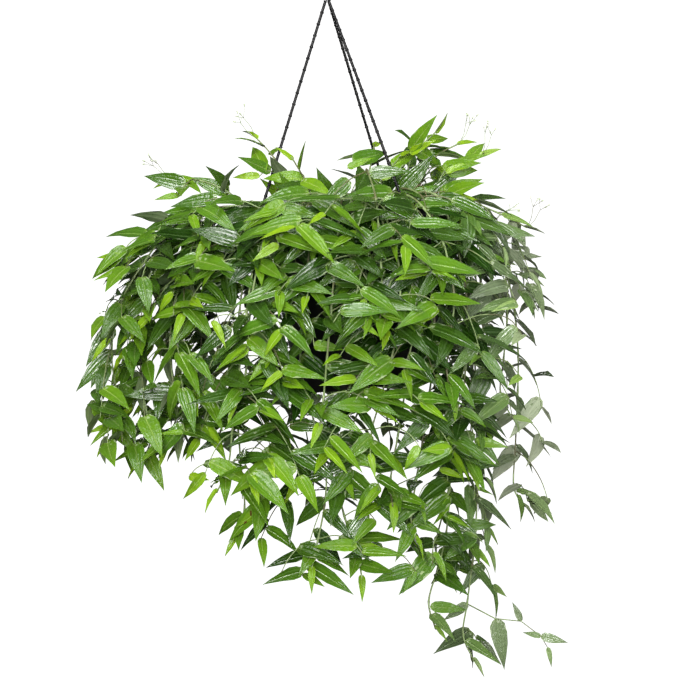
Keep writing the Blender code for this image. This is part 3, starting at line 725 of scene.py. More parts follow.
def walk(route, distances):
    """The points at the given distances along a fine route."""
    found = []
    gone = 0.0
    place = 0
    for distance in distances:
        while place < len(route) - 2 and gone + (route[place + 1] - route[place]).length < distance:
            gone += (route[place + 1] - route[place]).length
            place += 1
        step = route[place + 1] - route[place]
        share = min(1.0, (distance - gone) / max(step.length, 1e-9))
        found.append(route[place] + step * share)
    return found


def node_distances(route, spray, rng):
    """How far along a stem its bare joints and its leaf nodes lie."""
    length = sum((b - a).length for a, b in zip(route, route[1:]))
    bare = BARE_FOOT if spray[2] > RISING else BARE_FOOT_RISING
    leafy = length - bare - TIP_LEAVES[0]
    count = max(2, round(leafy / INTERNODE))
    nodes = [bare + leafy * (n + rng.uniform(-0.2, 0.2)) / count for n in range(count)]
    nodes += [length - TIP_LEAVES[0] - LEAF_FORWARD]
    return [0.0, bare * 0.45], nodes, length


def clear_tube(points, radii):
    """A four-sided tube round a stem, for finding what it would touch."""
    corners = []
    faces = []
    side_way = None
    for index, point in enumerate(points):
        ahead = points[min(index + 1, len(points) - 1)] - points[max(index - 1, 0)]
        ahead.normalize()
        if side_way is None:
            side_way = ahead.orthogonal()
        side_way = (side_way - ahead * side_way.dot(ahead)).normalized()
        up_way = ahead.cross(side_way)
        corners += [point + way * radii[index] for way in (side_way, up_way, -side_way, -up_way)]
    for ring in range(len(points) - 1):
        for side in range(4):
            low = 4 * ring + side
            low_next = 4 * ring + (side + 1) % 4
            faces.append((low, low_next, low_next + 4, low + 4))
    faces += [(3, 2, 1, 0), tuple(range(len(corners) - 4, len(corners)))]
    return BVHTree.FromPolygons(corners, faces)


def hits(tree, others):
    """Whether a shape touches any of the others."""
    return any(tree.overlap(other) for other in others)


def cad_tree(name):
    """The shape of a CAD node, for keeping stems and leaves clear of it."""
    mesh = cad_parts[name].data
    return BVHTree.FromPolygons([corner.co for corner in mesh.vertices],
                                [tuple(face.vertices) for face in mesh.polygons])


def grow_stems(sprays, obstacles):
    """Routes for every stem, each bent clear of the pot, the strands and the other stems."""
    roots, spare = choose_roots(sprays)
    stems = []
    for number, (spray, root) in enumerate(zip(sprays, roots)):
        for attempt in range(ROUTE_TRIES):
            if attempt == ROUTE_TRIES // 2:
                near = [math.dist(place, root) for place in spare]
                root = spare.pop(near.index(min(near)))
            rng = random.Random(1000 * number + attempt)
            shift = rng.uniform(-1, 1) * min(ROUTE_TURN_MOST, attempt * ROUTE_TURN_STEP)
            tried = (spray[0] + shift, spray[1], spray[2])
            lift = min(ROUTE_LIFT_MOST, (attempt % (ROUTE_TRIES // 2)) * ROUTE_LIFT_STEP)
            foot, route = spray_route(tried, root, rng, lift)
            bare, nodes, length = node_distances(route, tried, rng)
            points = [foot] + walk(route, bare + nodes + [length])
            radii = [STEM_ROOT_RADIUS + (STEM_TIP_RADIUS - STEM_ROOT_RADIUS) * n / len(points)
                     for n in range(len(points))]
            tree = clear_tube(points[1:], [radius + STEM_CLEARANCE for radius in radii[1:]])
            if not hits(tree, obstacles + [stem["tree"] for stem in stems]):
                break
        stems.append({"spray": tried, "points": points, "tree": tree, "first_leaf": 1 + len(bare),
                      "rng": rng, "leaves": [], "shoots": []})
    return stems


strand_and_pot = [cad_tree(f"hanger_strand_{n}") for n in (1, 2, 3)] + [cad_tree("pot")]
stems = grow_stems(SPRAYS, strand_and_pot)


# Where the leaves sit
# A leaf clasps every joint of a stem, by turns on one side and the other, and three make a tuft at
# its tip. They stand out nearly level with their faces to the light, and none hits another.
LEAF_LENGTH = 0.047
LEAF_WIDTH = 0.34
LEAF_THICKNESS = 0.0014
LEAF_STATIONS = (0.0, 0.24, 0.62, 1.0)
LEAF_WIDTHS = (0.0, 0.95, 0.70, 0.0)
LEAF_CLEARANCE = 0.0005
LEAF_NEAR = 0.06
LEAF_OWN_NODE = 0.012
LEAF_SPREAD = 60.0
LEAF_DIP = 12.0
LEAF_RISE = 32.0
LEAF_TRIES = 40
LEAF_TURN_STEP = 0.05
LIGHT_WAY = Vector((0.10, -0.60, 0.80))


def keeled_blade(base, along, face_up, length, width, arch, swell):
    """The space that one leaf takes: flat above, keeled below, arched along its length."""
    across = face_up.cross(along).normalized()
    above = along.cross(across)
    corners = []
    for station, wide in zip(LEAF_STATIONS, LEAF_WIDTHS):
        bend = arch * station
        tilted = above * math.cos(bend) + along * math.sin(bend)
        spine = base + along * (length * math.sin(bend) / arch)
        spine += above * (length * (math.cos(bend) - 1.0) / arch) + tilted * swell
        spread = across * wide * (width / 2 + swell)
        keel = spine - tilted * (LEAF_THICKNESS + 2 * swell)
        corners += [spine] if wide == 0.0 else [spine + spread, spine - spread, keel]
    return BVHTree.FromPolygons(corners, [
        (0, 1, 2), (0, 2, 3), (0, 3, 1), (1, 4, 5), (1, 5, 2), (2, 5, 6), (2, 6, 3), (3, 6, 4),
        (3, 4, 1), (7, 5, 4), (7, 6, 5), (7, 4, 6),
    ])


def leaf_pose(spray, spin, side, ahead, share, rng):
    """Which way a leaf points, which way its face looks, and its size and arch."""
    turn = math.radians(spray[0])
    out = level_way(turn)
    loose = Vector((rng.uniform(-1, 1), rng.uniform(-1, 1), rng.uniform(-1, 1)))
    if share < 1.0:
        way = turn + spin + side * math.radians(LEAF_SPREAD + 40 * loose.x)
        dip = math.radians(LEAF_DIP + 28 * loose.y - (LEAF_RISE if spray[2] < RISING else 0))
        along = Vector((math.cos(way), math.sin(way), -math.tan(dip))).normalized() + ahead * 0.2
    else:
        along = ahead * 0.9 + out * 0.4 + loose * 0.3
    along.normalize()
    face_up = LIGHT_WAY + out * 0.55 + loose.yzx * 0.45
    face_up = (face_up - along * face_up.dot(along)).normalized()
    grown = 1.0 if share < 0.8 else (0.86 if share < 1.0 else 0.55)
    length = LEAF_LENGTH * grown * rng.uniform(0.84, 1.12)
    width = length * LEAF_WIDTH * rng.uniform(0.88, 1.12)
    arch = rng.uniform(0.15, 0.75)
    return along, face_up, length, width, arch


def leaf_seats(points, first):
    """Where each leaf grows from its stem: its base, the stem's way there, and how far along."""
    seats = []
    last = len(points) - 1
    for index in range(first, last):
        ahead = (points[index + 1] - points[index]).normalized()
        share = 0.5 if index < last - 1 else 0.9
        seats.append((points[index] + ahead * LEAF_FORWARD, ahead, share))
    tip_way = (points[last] - points[last - 1]).normalized()
    seats.append((points[last] - tip_way * TIP_LEAVES[1], tip_way, 0.9))
    seats.append((points[last] - tip_way * TIP_LEAVES[2], tip_way, 1.0))
    return seats


def grow_leaves(stems, obstacles):
    """Leaves at every node, each turned until it clears all other stems and leaves."""
    placed = []
    for number, stem in enumerate(stems):
        rng = stem["rng"]
        spin = rng.uniform(-0.9, 0.9)
        side = rng.choice((-1, 1))
        other_stems = [s["tree"] for n, s in enumerate(stems) if n != number]
        for base, ahead, share in leaf_seats(stem["points"], stem["first_leaf"]):
            side = -side
            for attempt in range(LEAF_TRIES):
                spread = spin + rng.uniform(-1, 1) * LEAF_TURN_STEP * attempt
                pose = leaf_pose(stem["spray"], spread, side, ahead, share, rng)
                tree = keeled_blade(base, *pose, LEAF_CLEARANCE)
                middle = base + pose[0] * pose[2] * 0.5
                near = [leaf["tree"] for leaf in placed
                        if (leaf["middle"] - middle).length < LEAF_NEAR
                        and (leaf["stem"] != number or (leaf["base"] - base).length > LEAF_OWN_NODE)]
                if not hits(tree, near) and not hits(tree, other_stems + obstacles):
                    placed.append({"tree": tree, "middle": middle, "stem": number, "base": base})
                    stem["leaves"].append((base, *pose, share))
                    break
    return placed


solids = strand_and_pot + [cad_tree("potting_soil")]
placed_leaves = grow_leaves(stems, solids)


# Side shoots
# Along every stem, short shoots break from the nodes to both sides. Each carries one or two
# leaves and ends in a head: two leaves spread in a V, and a small folded young leaf between them.
SHOOT_LENGTHS = (0.036, 0.090)
SHOOT_RADIUS = 0.0006
SHOOT_NODE = 0.025
SHOOT_END_SPACE = 0.015
# By its drop below the rim, how many shoots break from each side of a node. SHOOT_SHARES scales
# that for each group of stems, above and below SHOOT_LOWER.
SHOOT_CHANCES = ((-1.0, 0.7), (0.0, 0.9), (0.10, 1.0), (0.19, 1.45), (0.29, 1.2), (0.34, 0.5))
SHOOT_LOWER = (0.12, 0.22)
SHOOT_OUTWARD_FROM = 0.06
SHOOT_SHARES = (
    (RISING_SPRAYS, 0.62, 0.62), (LEFT_SPRAYS, 1.30, 0.95), (FRONT_SPRAYS, 1.05, 1.35),
    (RIGHT_SPRAYS, 0.34, 0.45), (LONG_SPRAYS, 0.40, 0.48), (LONE_SPRAYS, 0.45, 0.50),
    (BACK_SPRAYS, 1.60, 1.20),
)
SHOOT_CLEARANCE = 0.0002
SHOOT_MARGIN = 0.026
SHOOT_TRIES = 8
SHOOT_RISE = 0.45
CREST_CEILING = 0.014
RISING_CEILING = 0.016
HEAD_LEAVES = (0.011, 0.004, 0.001)
HEAD_LENGTH = 0.016
SHOOT_LEAF_LENGTHS = (1.05, 1.02, 0.66)
SHOOT_LEAF_WIDTH = 0.36
SHOOT_LEAF_TRIES = 7
SHOOT_FLATTEN = 0.45
YOUNGEST_SPREAD = 65.0
YOUNGEST_DIP = 8.0
RISING_FACE = Vector((0.0, -0.8, -0.4))
OWN_NODE = 0.010

near_cells = {}


def cell_of(place):
    """The cube of space that a place is in."""
    return tuple(math.floor(value / LEAF_NEAR) for value in place)


def remember(tree, middle, base, shoot):
    """Keeps the space that a leaf or a shoot takes, by the cell that its middle is in."""
    near_cells.setdefault(cell_of(middle), []).append((tree, middle, base, shoot))


def is_clear(tree, middle, base, shoot):
    """Whether a leaf or shoot hits nothing, apart from its own shoot and its own node."""
    here = cell_of(middle)
    for steps in itertools.product((-1, 0, 1), repeat=3):
        cell = tuple(start + step for start, step in zip(here, steps))
        for other, other_middle, other_base, other_shoot in near_cells.get(cell, ()):
            if (other_middle - middle).length > LEAF_NEAR or other_shoot is shoot:
                continue
            if (other_base - base).length > OWN_NODE and tree.overlap(other):
                return False
    return not hits(tree, solids)


def outgrown(place, stem):
    """Whether a place is above the crest, or further out or down than its stem, and a margin."""
    from_axis = (place - pot_frame.translation).xy.length
    reach = max((point - pot_frame.translation).xy.length for point in stem["points"])
    lowest = min(point.z for point in stem["points"])
    highest = pot_frame.translation.z + CREST_CEILING
    if stem["spray"][2] < RISING:
        highest = stem["points"][-1].z + RISING_CEILING
    if place.z > highest:
        return True
    return from_axis > reach + SHOOT_MARGIN or place.z < lowest - SHOOT_MARGIN / 2


def shoot_route(start, heading, length):
    """A shoot leaves its node straight, then droops under its head."""
    drop = Vector((0.0, 0.0, -1.0))
    return smooth_route([
        start, start + heading * length * 0.36 - drop * 0.003,
        start + heading * length * 0.70 + drop * length * 0.07,
        start + heading * length * 0.90 + drop * length * 0.30,
    ], 4)


def shoot_leaf_pose(out, ahead, side, rank, rising, rng):
    """A leaf of a shoot: rank 0 for one along it, 1 for one of its head, 2 for its youngest."""
    loose = Vector((rng.uniform(-1, 1), rng.uniform(-1, 1), rng.uniform(-1, 1)))
    youngest = rank == 2
    spread = YOUNGEST_SPREAD * loose.x if youngest else LEAF_SPREAD + 40 * loose.x
    way = math.atan2(out.y, out.x) + side * math.radians(spread)
    dip = LEAF_DIP + 30 * loose.y + YOUNGEST_DIP * youngest - LEAF_RISE * rising
    along = Vector((math.cos(way), math.sin(way) * SHOOT_FLATTEN, 0.0)).normalized()
    along.z = -math.tan(math.radians(dip))
    along = (along.normalized() + ahead * 0.2).normalized()
    face_up = LIGHT_WAY + out * 0.40 + loose.yzx * 0.50 + RISING_FACE * rising
    face_up = (face_up - along * face_up.dot(along)).normalized()
    length = LEAF_LENGTH * SHOOT_LEAF_LENGTHS[rank] * rng.uniform(0.78, 1.12)
    width = length * SHOOT_LEAF_WIDTH * rng.uniform(0.88, 1.12)
    return along, face_up, length, width, rng.uniform(0.15, 0.75)


def grow_shoot(stem, start, out, side, other_stems, rng):
    """One side shoot from a node, if there is room for it."""
    across = Vector((-out.y, out.x, 0.0))
    below_rim = pot_frame.translation.z - start.z
    rising = stem["spray"][2] < RISING
    for attempt in range(SHOOT_TRIES):
        heading = across * side * rng.uniform(0.25, 1.0) + out * rng.uniform(-0.15, 0.75)
        heading.z = rng.uniform(-0.75, 0.25 if below_rim > 0.0 else -0.10) + SHOOT_RISE * rising
        heading.normalize()
        route = shoot_route(start, heading, rng.uniform(*SHOOT_LENGTHS))
        thin = route[2::2]
        tree = clear_tube(thin, [SHOOT_RADIUS + SHOOT_CLEARANCE] * len(thin))
        middle = route[len(route) // 2]
        shoot = {"route": route, "leaves": []}
        if outgrown(route[-1] + heading * SHOOT_END_SPACE, stem):
            continue
        if is_clear(tree, middle, start, shoot) and not hits(tree, other_stems):
            break
    else:
        return
    remember(tree, middle, start, shoot)
    total = sum((b - a).length for a, b in zip(route, route[1:]))
    places = [(SHOOT_NODE * (n + rng.uniform(0.8, 1.1)), 0) for n in range(int(total / SHOOT_NODE))]
    places = [place for place in places if place[0] < total - HEAD_LENGTH]
    places += [(total - back, rank) for back, rank in zip(HEAD_LEAVES, (1, 1, 2))]
    own = []
    hand = rng.choice((-1, 1))
    for (distance, rank), base in zip(places, walk(route, [place[0] for place in places])):
        hand = -hand
        ahead = (route[-1] - route[-3]).normalized() if rank else heading
        for attempt in range(SHOOT_LEAF_TRIES):
            pose = shoot_leaf_pose(out, ahead, hand, rank, rising, rng)
            if outgrown(base + pose[0] * pose[2], stem):
                continue
            tree = keeled_blade(base, *pose, 0.0)
            middle = base + pose[0] * pose[2] * 0.5
            beside = [other for other, other_base in own if (other_base - base).length > OWN_NODE]
            if not hits(tree, beside + other_stems) and is_clear(tree, middle, base, shoot):
                remember(tree, middle, base, shoot)
                own.append((tree, base))
                shoot["leaves"].append((base, *pose, rank))
                break
    stem["shoots"].append(shoot)


for leaf in placed_leaves:
    remember(leaf["tree"], leaf["middle"], leaf["base"], None)
shoot_shares = [shares for group, *shares in SHOOT_SHARES for spray in group]
for number, stem in enumerate(stems):
    other_stems = [other["tree"] for n, other in enumerate(stems) if n != number]
    shoot_rng = random.Random(9000 + number)
    for start in stem["points"][stem["first_leaf"] - 1:-1]:
        from_axis = start - pot_frame.translation
        turn = math.radians(stem["spray"][0])
        if from_axis.xy.length > SHOOT_OUTWARD_FROM:
            turn = math.atan2(from_axis.y, from_axis.x)
        out = level_way(turn)
        drop = pot_frame.translation.z - start.z
        chance = np.interp(drop, *zip(*SHOOT_CHANCES))
        chance *= np.interp(drop, SHOOT_LOWER, shoot_shares[number])
        for side in (-1, 1):
            for shoot in range(int(chance + shoot_rng.random())):
                grow_shoot(stem, start, out, side, other_stems, shoot_rng)


# Leaves
# Thin, soft and pointed, with a rounded base that clasps the stem, a channelled midrib and fine
# parallel ribs. One is modelled flat, and every leaf is a copy bent to its own arch and fold.
LEAF_OUTLINE = ((0.03, 0.56), (0.12, 0.90), (0.29, 1.0), (0.51, 0.84), (0.74, 0.46), (0.90, 0.16))
LEAF_RINGS = len(LEAF_OUTLINE) + 1
LEAF_HALF_DEPTH = 0.00022
LEAF_RIBS = 2.5
LEAF_QUILT = 0.0010
LEAF_RUFFLE = 0.0006
CLASP_FOLD = math.radians(55)
CLASP_REACH = 0.035
YOUNG_GREEN = (0.250, 0.420, 0.010, 1.0)
FRESH_GREEN = (0.160, 0.320, 0.009, 1.0)
FULL_GREEN = (0.062, 0.168, 0.007, 1.0)
# The darkest green is old leaves' own colour, and also painted shade for leaves deep round the pot.
OLD_GREEN = (0.013, 0.046, 0.003, 1.0)
WARM_GREEN = (0.130, 0.240, 0.014, 1.0)
CLOUD_GREEN = (0.035, 0.110, 0.010, 1.0)
PALE_GREEN = (0.300, 0.420, 0.080, 1.0)
RIB_GREEN = (0.240, 0.420, 0.080, 1.0)
YOUNG_MIDRIB = (0.430, 0.580, 0.130, 1.0)
OLD_MIDRIB = (0.130, 0.240, 0.070, 1.0)
SPOT_BROWN = (0.090, 0.034, 0.010, 1.0)
# Pale greens for bleaching, made paler still as painted fill light that lifts leaves lying in shade
# on the right side.
BLEACHED_AND_LIT_GREEN = (0.360, 0.410, 0.270, 1.0)
YOUNG_SAGE = (0.300, 0.440, 0.120, 1.0)
OLD_SAGE = (0.230, 0.300, 0.160, 1.0)
CLOUD_SAGE = (0.160, 0.230, 0.105, 1.0)
RIB_SAGE = (0.330, 0.400, 0.230, 1.0)
MIDRIB_SAGE = (0.400, 0.470, 0.270, 1.0)
# This pale sage is also painted fill light for undersides lying in shade on the right side.
BLEACHED_AND_LIT_SAGE = (0.580, 0.620, 0.470, 1.0)
STEM_GREEN = (0.150, 0.230, 0.060, 1.0)
STEM_PALE = (0.330, 0.420, 0.190, 1.0)
STEM_BROWN = (0.085, 0.058, 0.028, 1.0)

bpy.ops.object.select_all(action="DESELECT")
bpy.ops.mesh.primitive_uv_sphere_add(segments=8, ring_count=LEAF_RINGS, radius=1.0)
flat_leaf = bpy.context.object
flat_leaf.name = "flat_leaf"
flat_leaf.rotation_euler = (math.radians(-90), 0.0, 0.0)
bpy.ops.object.transform_apply(rotation=True)
ring_of = [round(math.acos(max(-1.0, min(1.0, -corner.co.y))) / math.pi * LEAF_RINGS)
           for corner in flat_leaf.data.vertices]
for ring, (station, wide) in enumerate(LEAF_OUTLINE, 1):
    angle = math.pi * ring / LEAF_RINGS
    level = -math.cos(angle)
    bpy.ops.object.mode_set(mode="EDIT")
    bpy.ops.mesh.select_mode(type="VERT")
    bpy.ops.mesh.select_all(action="DESELECT")
    bpy.ops.object.mode_set(mode="OBJECT")
    for corner, own_ring in zip(flat_leaf.data.vertices, ring_of):
        corner.select = own_ring == ring
    bpy.ops.object.mode_set(mode="EDIT")
    bpy.ops.transform.resize(value=(wide / math.sin(angle), 1.0, 1.0 / math.sin(angle)),
                             center_override=(0.0, level, 0.0))
    bpy.ops.transform.translate(value=(0.0, 2 * station - 1 - level, 0.0))
    bpy.ops.object.mode_set(mode="OBJECT")
flat_leaf.scale = (1.0, 0.5, LEAF_HALF_DEPTH)
flat_leaf.location = (0.0, 0.5, 0.0)
bpy.ops.object.transform_apply(location=True, scale=True)
bpy.ops.object.shade_smooth_by_angle(angle=math.radians(60))


def leaf_value(tree, name):
    """A value that each leaf carries: its age with painted shade, its tint, its spots, or how pale it
    is from bleaching and painted fill light.
    """
    return node(tree, "ShaderNodeAttribute", attribute_name=name).outputs["Fac"]


def leaf_grid(tree):
    """How far aside of the midrib and how far along the leaf a place is, and the ribs' waves."""
    grid = node(tree, "ShaderNodeTexCoord").outputs["UV"]
    split = node(tree, "ShaderNodeSeparateXYZ", {0: grid})
    from_midrib = maths(tree, "ABSOLUTE", maths(tree, "SUBTRACT", split.outputs["X"], 0.5))
    aside = maths(tree, "MULTIPLY", from_midrib, 2.0)
    ribs = maths(tree, "SINE", maths(tree, "MULTIPLY", aside, LEAF_RIBS * 2 * math.pi))
    return aside, split.outputs["Y"], ribs


def leaf_upper_side():
    """Glossy green, lime when young, dark when old and darkest in the painted shade round the pot,
    with pale ribs and a paler midrib.
    """
    made, tree, shader, place = new_finish("leaf_upper_side", 0.32, (0.08, 0.22, 0.03, 1.0))
    # The age that each leaf carries includes painted shade for the leaves round the pot.
    age = leaf_value(tree, "leaf_age_and_shade")
    aside, along, ribs = leaf_grid(tree)
    cloudy = noise(tree, place, 90.0)
    body = node(tree, "ShaderNodeValToRGB", {"Fac": age})
    stops = body.color_ramp.elements
    stops[0].color = YOUNG_GREEN
    stops[1].color = OLD_GREEN
    stops.new(0.22).color = FRESH_GREEN
    stops.new(0.55).color = FULL_GREEN
    # Painted shade: the deepest leaves round the pot lose their warmth, clouds, pale ribs and much of
    # their sheen, so the hollows look dark.
    fresh_and_unshaded = stretch(tree, age, 0.80, 1.25, 1.00, 0.12)
    tint = stretch(tree, leaf_value(tree, "leaf_tint"), -1.0, 1.0, 0.0, 0.30)
    warmth = maths(tree, "MULTIPLY", fresh_and_unshaded, tint)
    warm = blend(tree, warmth, body.outputs["Color"], WARM_GREEN)
    cloud = maths(tree, "MULTIPLY", fresh_and_unshaded, stretch(tree, cloudy, 0.35, 0.65, 0.0, 0.30))
    clouded = blend(tree, cloud, warm, CLOUD_GREEN)
    base_pale = blend(tree, stretch(tree, along, 0.12, 0.0, 0.0, 0.35), clouded, PALE_GREEN)
    pale_ribs = maths(tree, "MULTIPLY", fresh_and_unshaded, stretch(tree, ribs, 0.2, 1.0, 0.0, 0.07))
    ribbed = blend(tree, pale_ribs, base_pale, RIB_GREEN)
    midrib = maths(tree, "MULTIPLY", stretch(tree, aside, 0.09, 0.02),
                   stretch(tree, along, 1.0, 0.75))
    midrib_green = blend(tree, stretch(tree, age, 0.20, 0.80), YOUNG_MIDRIB, OLD_MIDRIB)
    veined = blend(tree, maths(tree, "MULTIPLY", midrib, 0.60), ribbed, midrib_green)
    blotch = stretch(tree, noise(tree, place, 110.0), 0.56, 0.60)
    spotted = maths(tree, "MULTIPLY", leaf_value(tree, "leaf_spot"), blotch)
    browned = blend(tree, spotted, veined, SPOT_BROWN)
    # Paling from bleaching, which on the right side is also painted fill light for leaves in shade.
    bleached_and_lit = maths(tree, "MULTIPLY", leaf_value(tree, "leaf_bleached_and_lit"), 0.85)
    faded_and_lit = blend(tree, bleached_and_lit, browned, BLEACHED_AND_LIT_GREEN)
    tree.links.new(faded_and_lit, shader.inputs["Base Color"])
    tree.links.new(stretch(tree, cloudy, 0.3, 0.7, 0.16, 0.36), shader.inputs["Roughness"])
    sheen = maths(tree, "MULTIPLY", fresh_and_unshaded, stretch(tree, age, 0.35, 0.75, 0.28, 1.00))
    tree.links.new(sheen, shader.inputs["Specular IOR Level"])
    ribby = maths(tree, "MULTIPLY", ribs, stretch(tree, age, 0.20, 0.85, 0.12, 0.70))
    channelled = maths(tree, "SUBTRACT", ribby, maths(tree, "MULTIPLY", midrib, 2.0))
    wavy = maths(tree, "MULTIPLY", noise(tree, place, 240.0), 3.5)
    height = maths(tree, "ADD", channelled, wavy)
    relief(tree, shader, height, 0.65, 0.00033)
    return made


def leaf_underside():
    """Sage green and dull with a raised midrib, paler from bleaching and, on the right side, from
    painted fill light on leaves in shade.
    """
    made, tree, shader, place = new_finish("leaf_underside", 0.55, (0.20, 0.28, 0.13, 1.0))
    aside, along, ribs = leaf_grid(tree)
    cloudy = noise(tree, place, 80.0)
    body = blend(tree, leaf_value(tree, "leaf_age_and_shade"), YOUNG_SAGE, OLD_SAGE)
    clouded = blend(tree, stretch(tree, cloudy, 0.35, 0.65, 0.0, 0.4), body, CLOUD_SAGE)
    ribbed = blend(tree, stretch(tree, ribs, 0.3, 1.0, 0.0, 0.25), clouded, RIB_SAGE)
    midrib = stretch(tree, aside, 0.11, 0.04)
    veined = blend(tree, maths(tree, "MULTIPLY", midrib, 0.6), ribbed, MIDRIB_SAGE)
    # Paling from bleaching, which on the right side is also painted fill light for undersides in
    # shade.
    faded_and_lit = blend(tree, leaf_value(tree, "leaf_bleached_and_lit"), veined, BLEACHED_AND_LIT_SAGE)
    tree.links.new(faded_and_lit, shader.inputs["Base Color"])
    height = maths(tree, "ADD", ribs, maths(tree, "MULTIPLY", midrib, 2.0))
    relief(tree, shader, height, 0.4, 0.00025)
    return made


def stem_skin():
    """Smooth pale green, flushed dark brown here and there."""
    made, tree, shader, place = new_finish("stem_skin", 0.42, (0.18, 0.28, 0.08, 1.0))
    flushed = stretch(tree, noise(tree, place, 28.0), 0.50, 0.62)
    green = blend(tree, noise(tree, place, 160.0), STEM_GREEN, STEM_PALE)
    colour = blend(tree, maths(tree, "MULTIPLY", flushed, 0.75), green, STEM_BROWN)
    tree.links.new(colour, shader.inputs["Base Color"])
    relief(tree, shader, noise(tree, place, 900.0), 0.3, 0.0002)
    return made


flat_leaf.data.materials.append(leaf_upper_side())
flat_leaf.data.materials.append(leaf_underside())
flat_places = np.array([corner.co for corner in flat_leaf.data.vertices])
flat_count = len(flat_places)
across_share = np.zeros(flat_count)
for index, ring in enumerate(ring_of):
    if 0 < ring < LEAF_RINGS:
        across_share[index] = flat_places[index][0] / LEAF_OUTLINE[ring - 1][1]
ring_width = np.array([LEAF_OUTLINE[ring - 1][1] if 0 < ring < LEAF_RINGS else 0.0
                       for ring in ring_of])
leaf_map = flat_leaf.data.uv_layers.active
for face in flat_leaf.data.polygons:
    face.material_index = 0 if face.normal.z > 0 else 1
    for corner in face.loop_indices:
        index = flat_leaf.data.loops[corner].vertex_index
        leaf_map.data[corner].uv = (0.5 + 0.5 * across_share[index], flat_places[index][1])
for name in ("leaf_age_and_shade", "leaf_tint", "leaf_spot", "leaf_bleached_and_lit"):
    flat_leaf.data.attributes.new(name, "FLOAT", "POINT")


def lay_leaf(base, along, face_up, length, width, arch, fold, twist, looks):
    """A copy of the flat leaf, folded along its midrib, twisted, arched and put on its seat."""
    right = along.cross(face_up).normalized()
    above = np.array(right.cross(along))
    right = np.array(right)
    way = np.array(along)
    side, station, depth = flat_places.T
    bend = arch * station
    folded = fold + (CLASP_FOLD - fold) * np.exp(-station / CLASP_REACH)
    tilted = np.outer(np.cos(bend), above) + np.outer(np.sin(bend), way)
    turned = twist * station
    flank = np.outer(np.cos(turned), right) + tilted * np.sin(turned)[:, None]
    tilted = tilted * np.cos(turned)[:, None] - np.outer(np.sin(turned), right)
    rise = np.abs(side) * width / 2 * np.sin(folded) - LEAF_THICKNESS * ring_width * 0.8
    rise += LEAF_QUILT * ring_width * np.sin(np.pi * np.abs(across_share))
    ruffle = np.sin(station * 13 + looks["leaf_tint"] * 9)
    rise += LEAF_RUFFLE * side ** 2 * ruffle * np.sign(side)
    places = np.array(base) + np.outer(length * np.sin(bend) / arch, way)
    places += np.outer(length * (np.cos(bend) - 1.0) / arch, above)
    places += flank * (side * width / 2 * np.cos(folded))[:, None]
    places += tilted * (depth + rise)[:, None]
    mesh = flat_leaf.data.copy()
    mesh.vertices.foreach_set("co", places.ravel())
    for name, value in looks.items():
        mesh.attributes[name].data.foreach_set("value", np.full(flat_count, value))
    mesh.update()
    made = bpy.data.objects.new("leaf", mesh)
    bpy.context.scene.collection.objects.link(made)
    return made


# Trailing stems
# Each is one thin, jointed, many-leaved stem of the plant, rooted in the soil, with its side
# shoots. It is smooth and round, a little swollen at every node, where a leaf's sheath holds it.
NODE_SWELLING = 1.45
STEM_LEAF_AGES = (0.95, 0.55)
TUFT_AGE = 0.34
TIP_AGE = 0.04
SHOOT_LEAF_AGES = (0.74, 0.42, 0.12)
OPEN_FOLD = (10, 24)
HEAD_FOLD = (15, 45)
TIP_FOLD = (30, 50)
# Leaves round the pot below its rim are painted darker as shade through a raised age, less so low
# down where the stems hang in the open.
SHADED_REACH = (0.140, 0.200)
SHADED_AGE = 0.54
OPEN_BELOW = (-0.220, -0.170)
OPEN_SHARE = 0.75
CREST_HEIGHT = -0.02
CREST_AGE = -0.05
# Leaves low on the tail are paled by bleaching; on the right side the paling is both bleaching and
# painted fill light on leaves in shade.
BLEACHED_AND_LIT_SIDE = (0.100, 0.170)
BLEACHED_BELOW = (-0.400, -0.350)
SPOTTED_PLACE = Vector((-0.050, -0.150, -0.545))


def leaf_looks(base, age, stem_tint, rng):
    """How old, tinted, spotted and pale a leaf is; those round the pot are painted darker as shade
    through a raised age.
    """
    place = base - pot_frame.translation
    # Painted shade: near the pot, below its rim, a leaf's age is raised so that it is coloured
    # darker.
    if place.z < 0.0:
        shaded = np.interp(place.xy.length, SHADED_REACH, (1.0, 0.0))
        shaded *= 1.0 - OPEN_SHARE * np.interp(place.z, OPEN_BELOW, (1.0, 0.0))
        age += SHADED_AGE * shaded
    if place.z > CREST_HEIGHT:
        age += CREST_AGE
    # Paling from bleaching, low on the tail and on the right side, where it is also painted fill
    # light for leaves in shade.
    bleached_and_lit = (np.interp(place.x, BLEACHED_AND_LIT_SIDE, (0.0, 1.0))
                + np.interp(place.z, BLEACHED_BELOW, (1.0, 0.0)))
    return {
        "leaf_age_and_shade": max(0.0, age),
        "leaf_tint": stem_tint + rng.uniform(-0.5, 0.5),
        "leaf_spot": 1.0 if base == spotted_leaf else 0.0,
        "leaf_bleached_and_lit": min(1.0, bleached_and_lit) * rng.uniform(0.15, 1.0),
    }


def stem_rod(points, first_node, start_radius, end_radius, steps):
    """The route of a stem with its radius, thicker round every node."""
    route = smooth_route(points, steps)
    rod = []
    for index, place in enumerate(route):
        radius = start_radius + (end_radius - start_radius) * index / len(route)
        if index % steps == 0 and first_node * steps <= index < len(route) - 1:
            radius *= NODE_SWELLING
        rod.append((place, radius))
    return rod


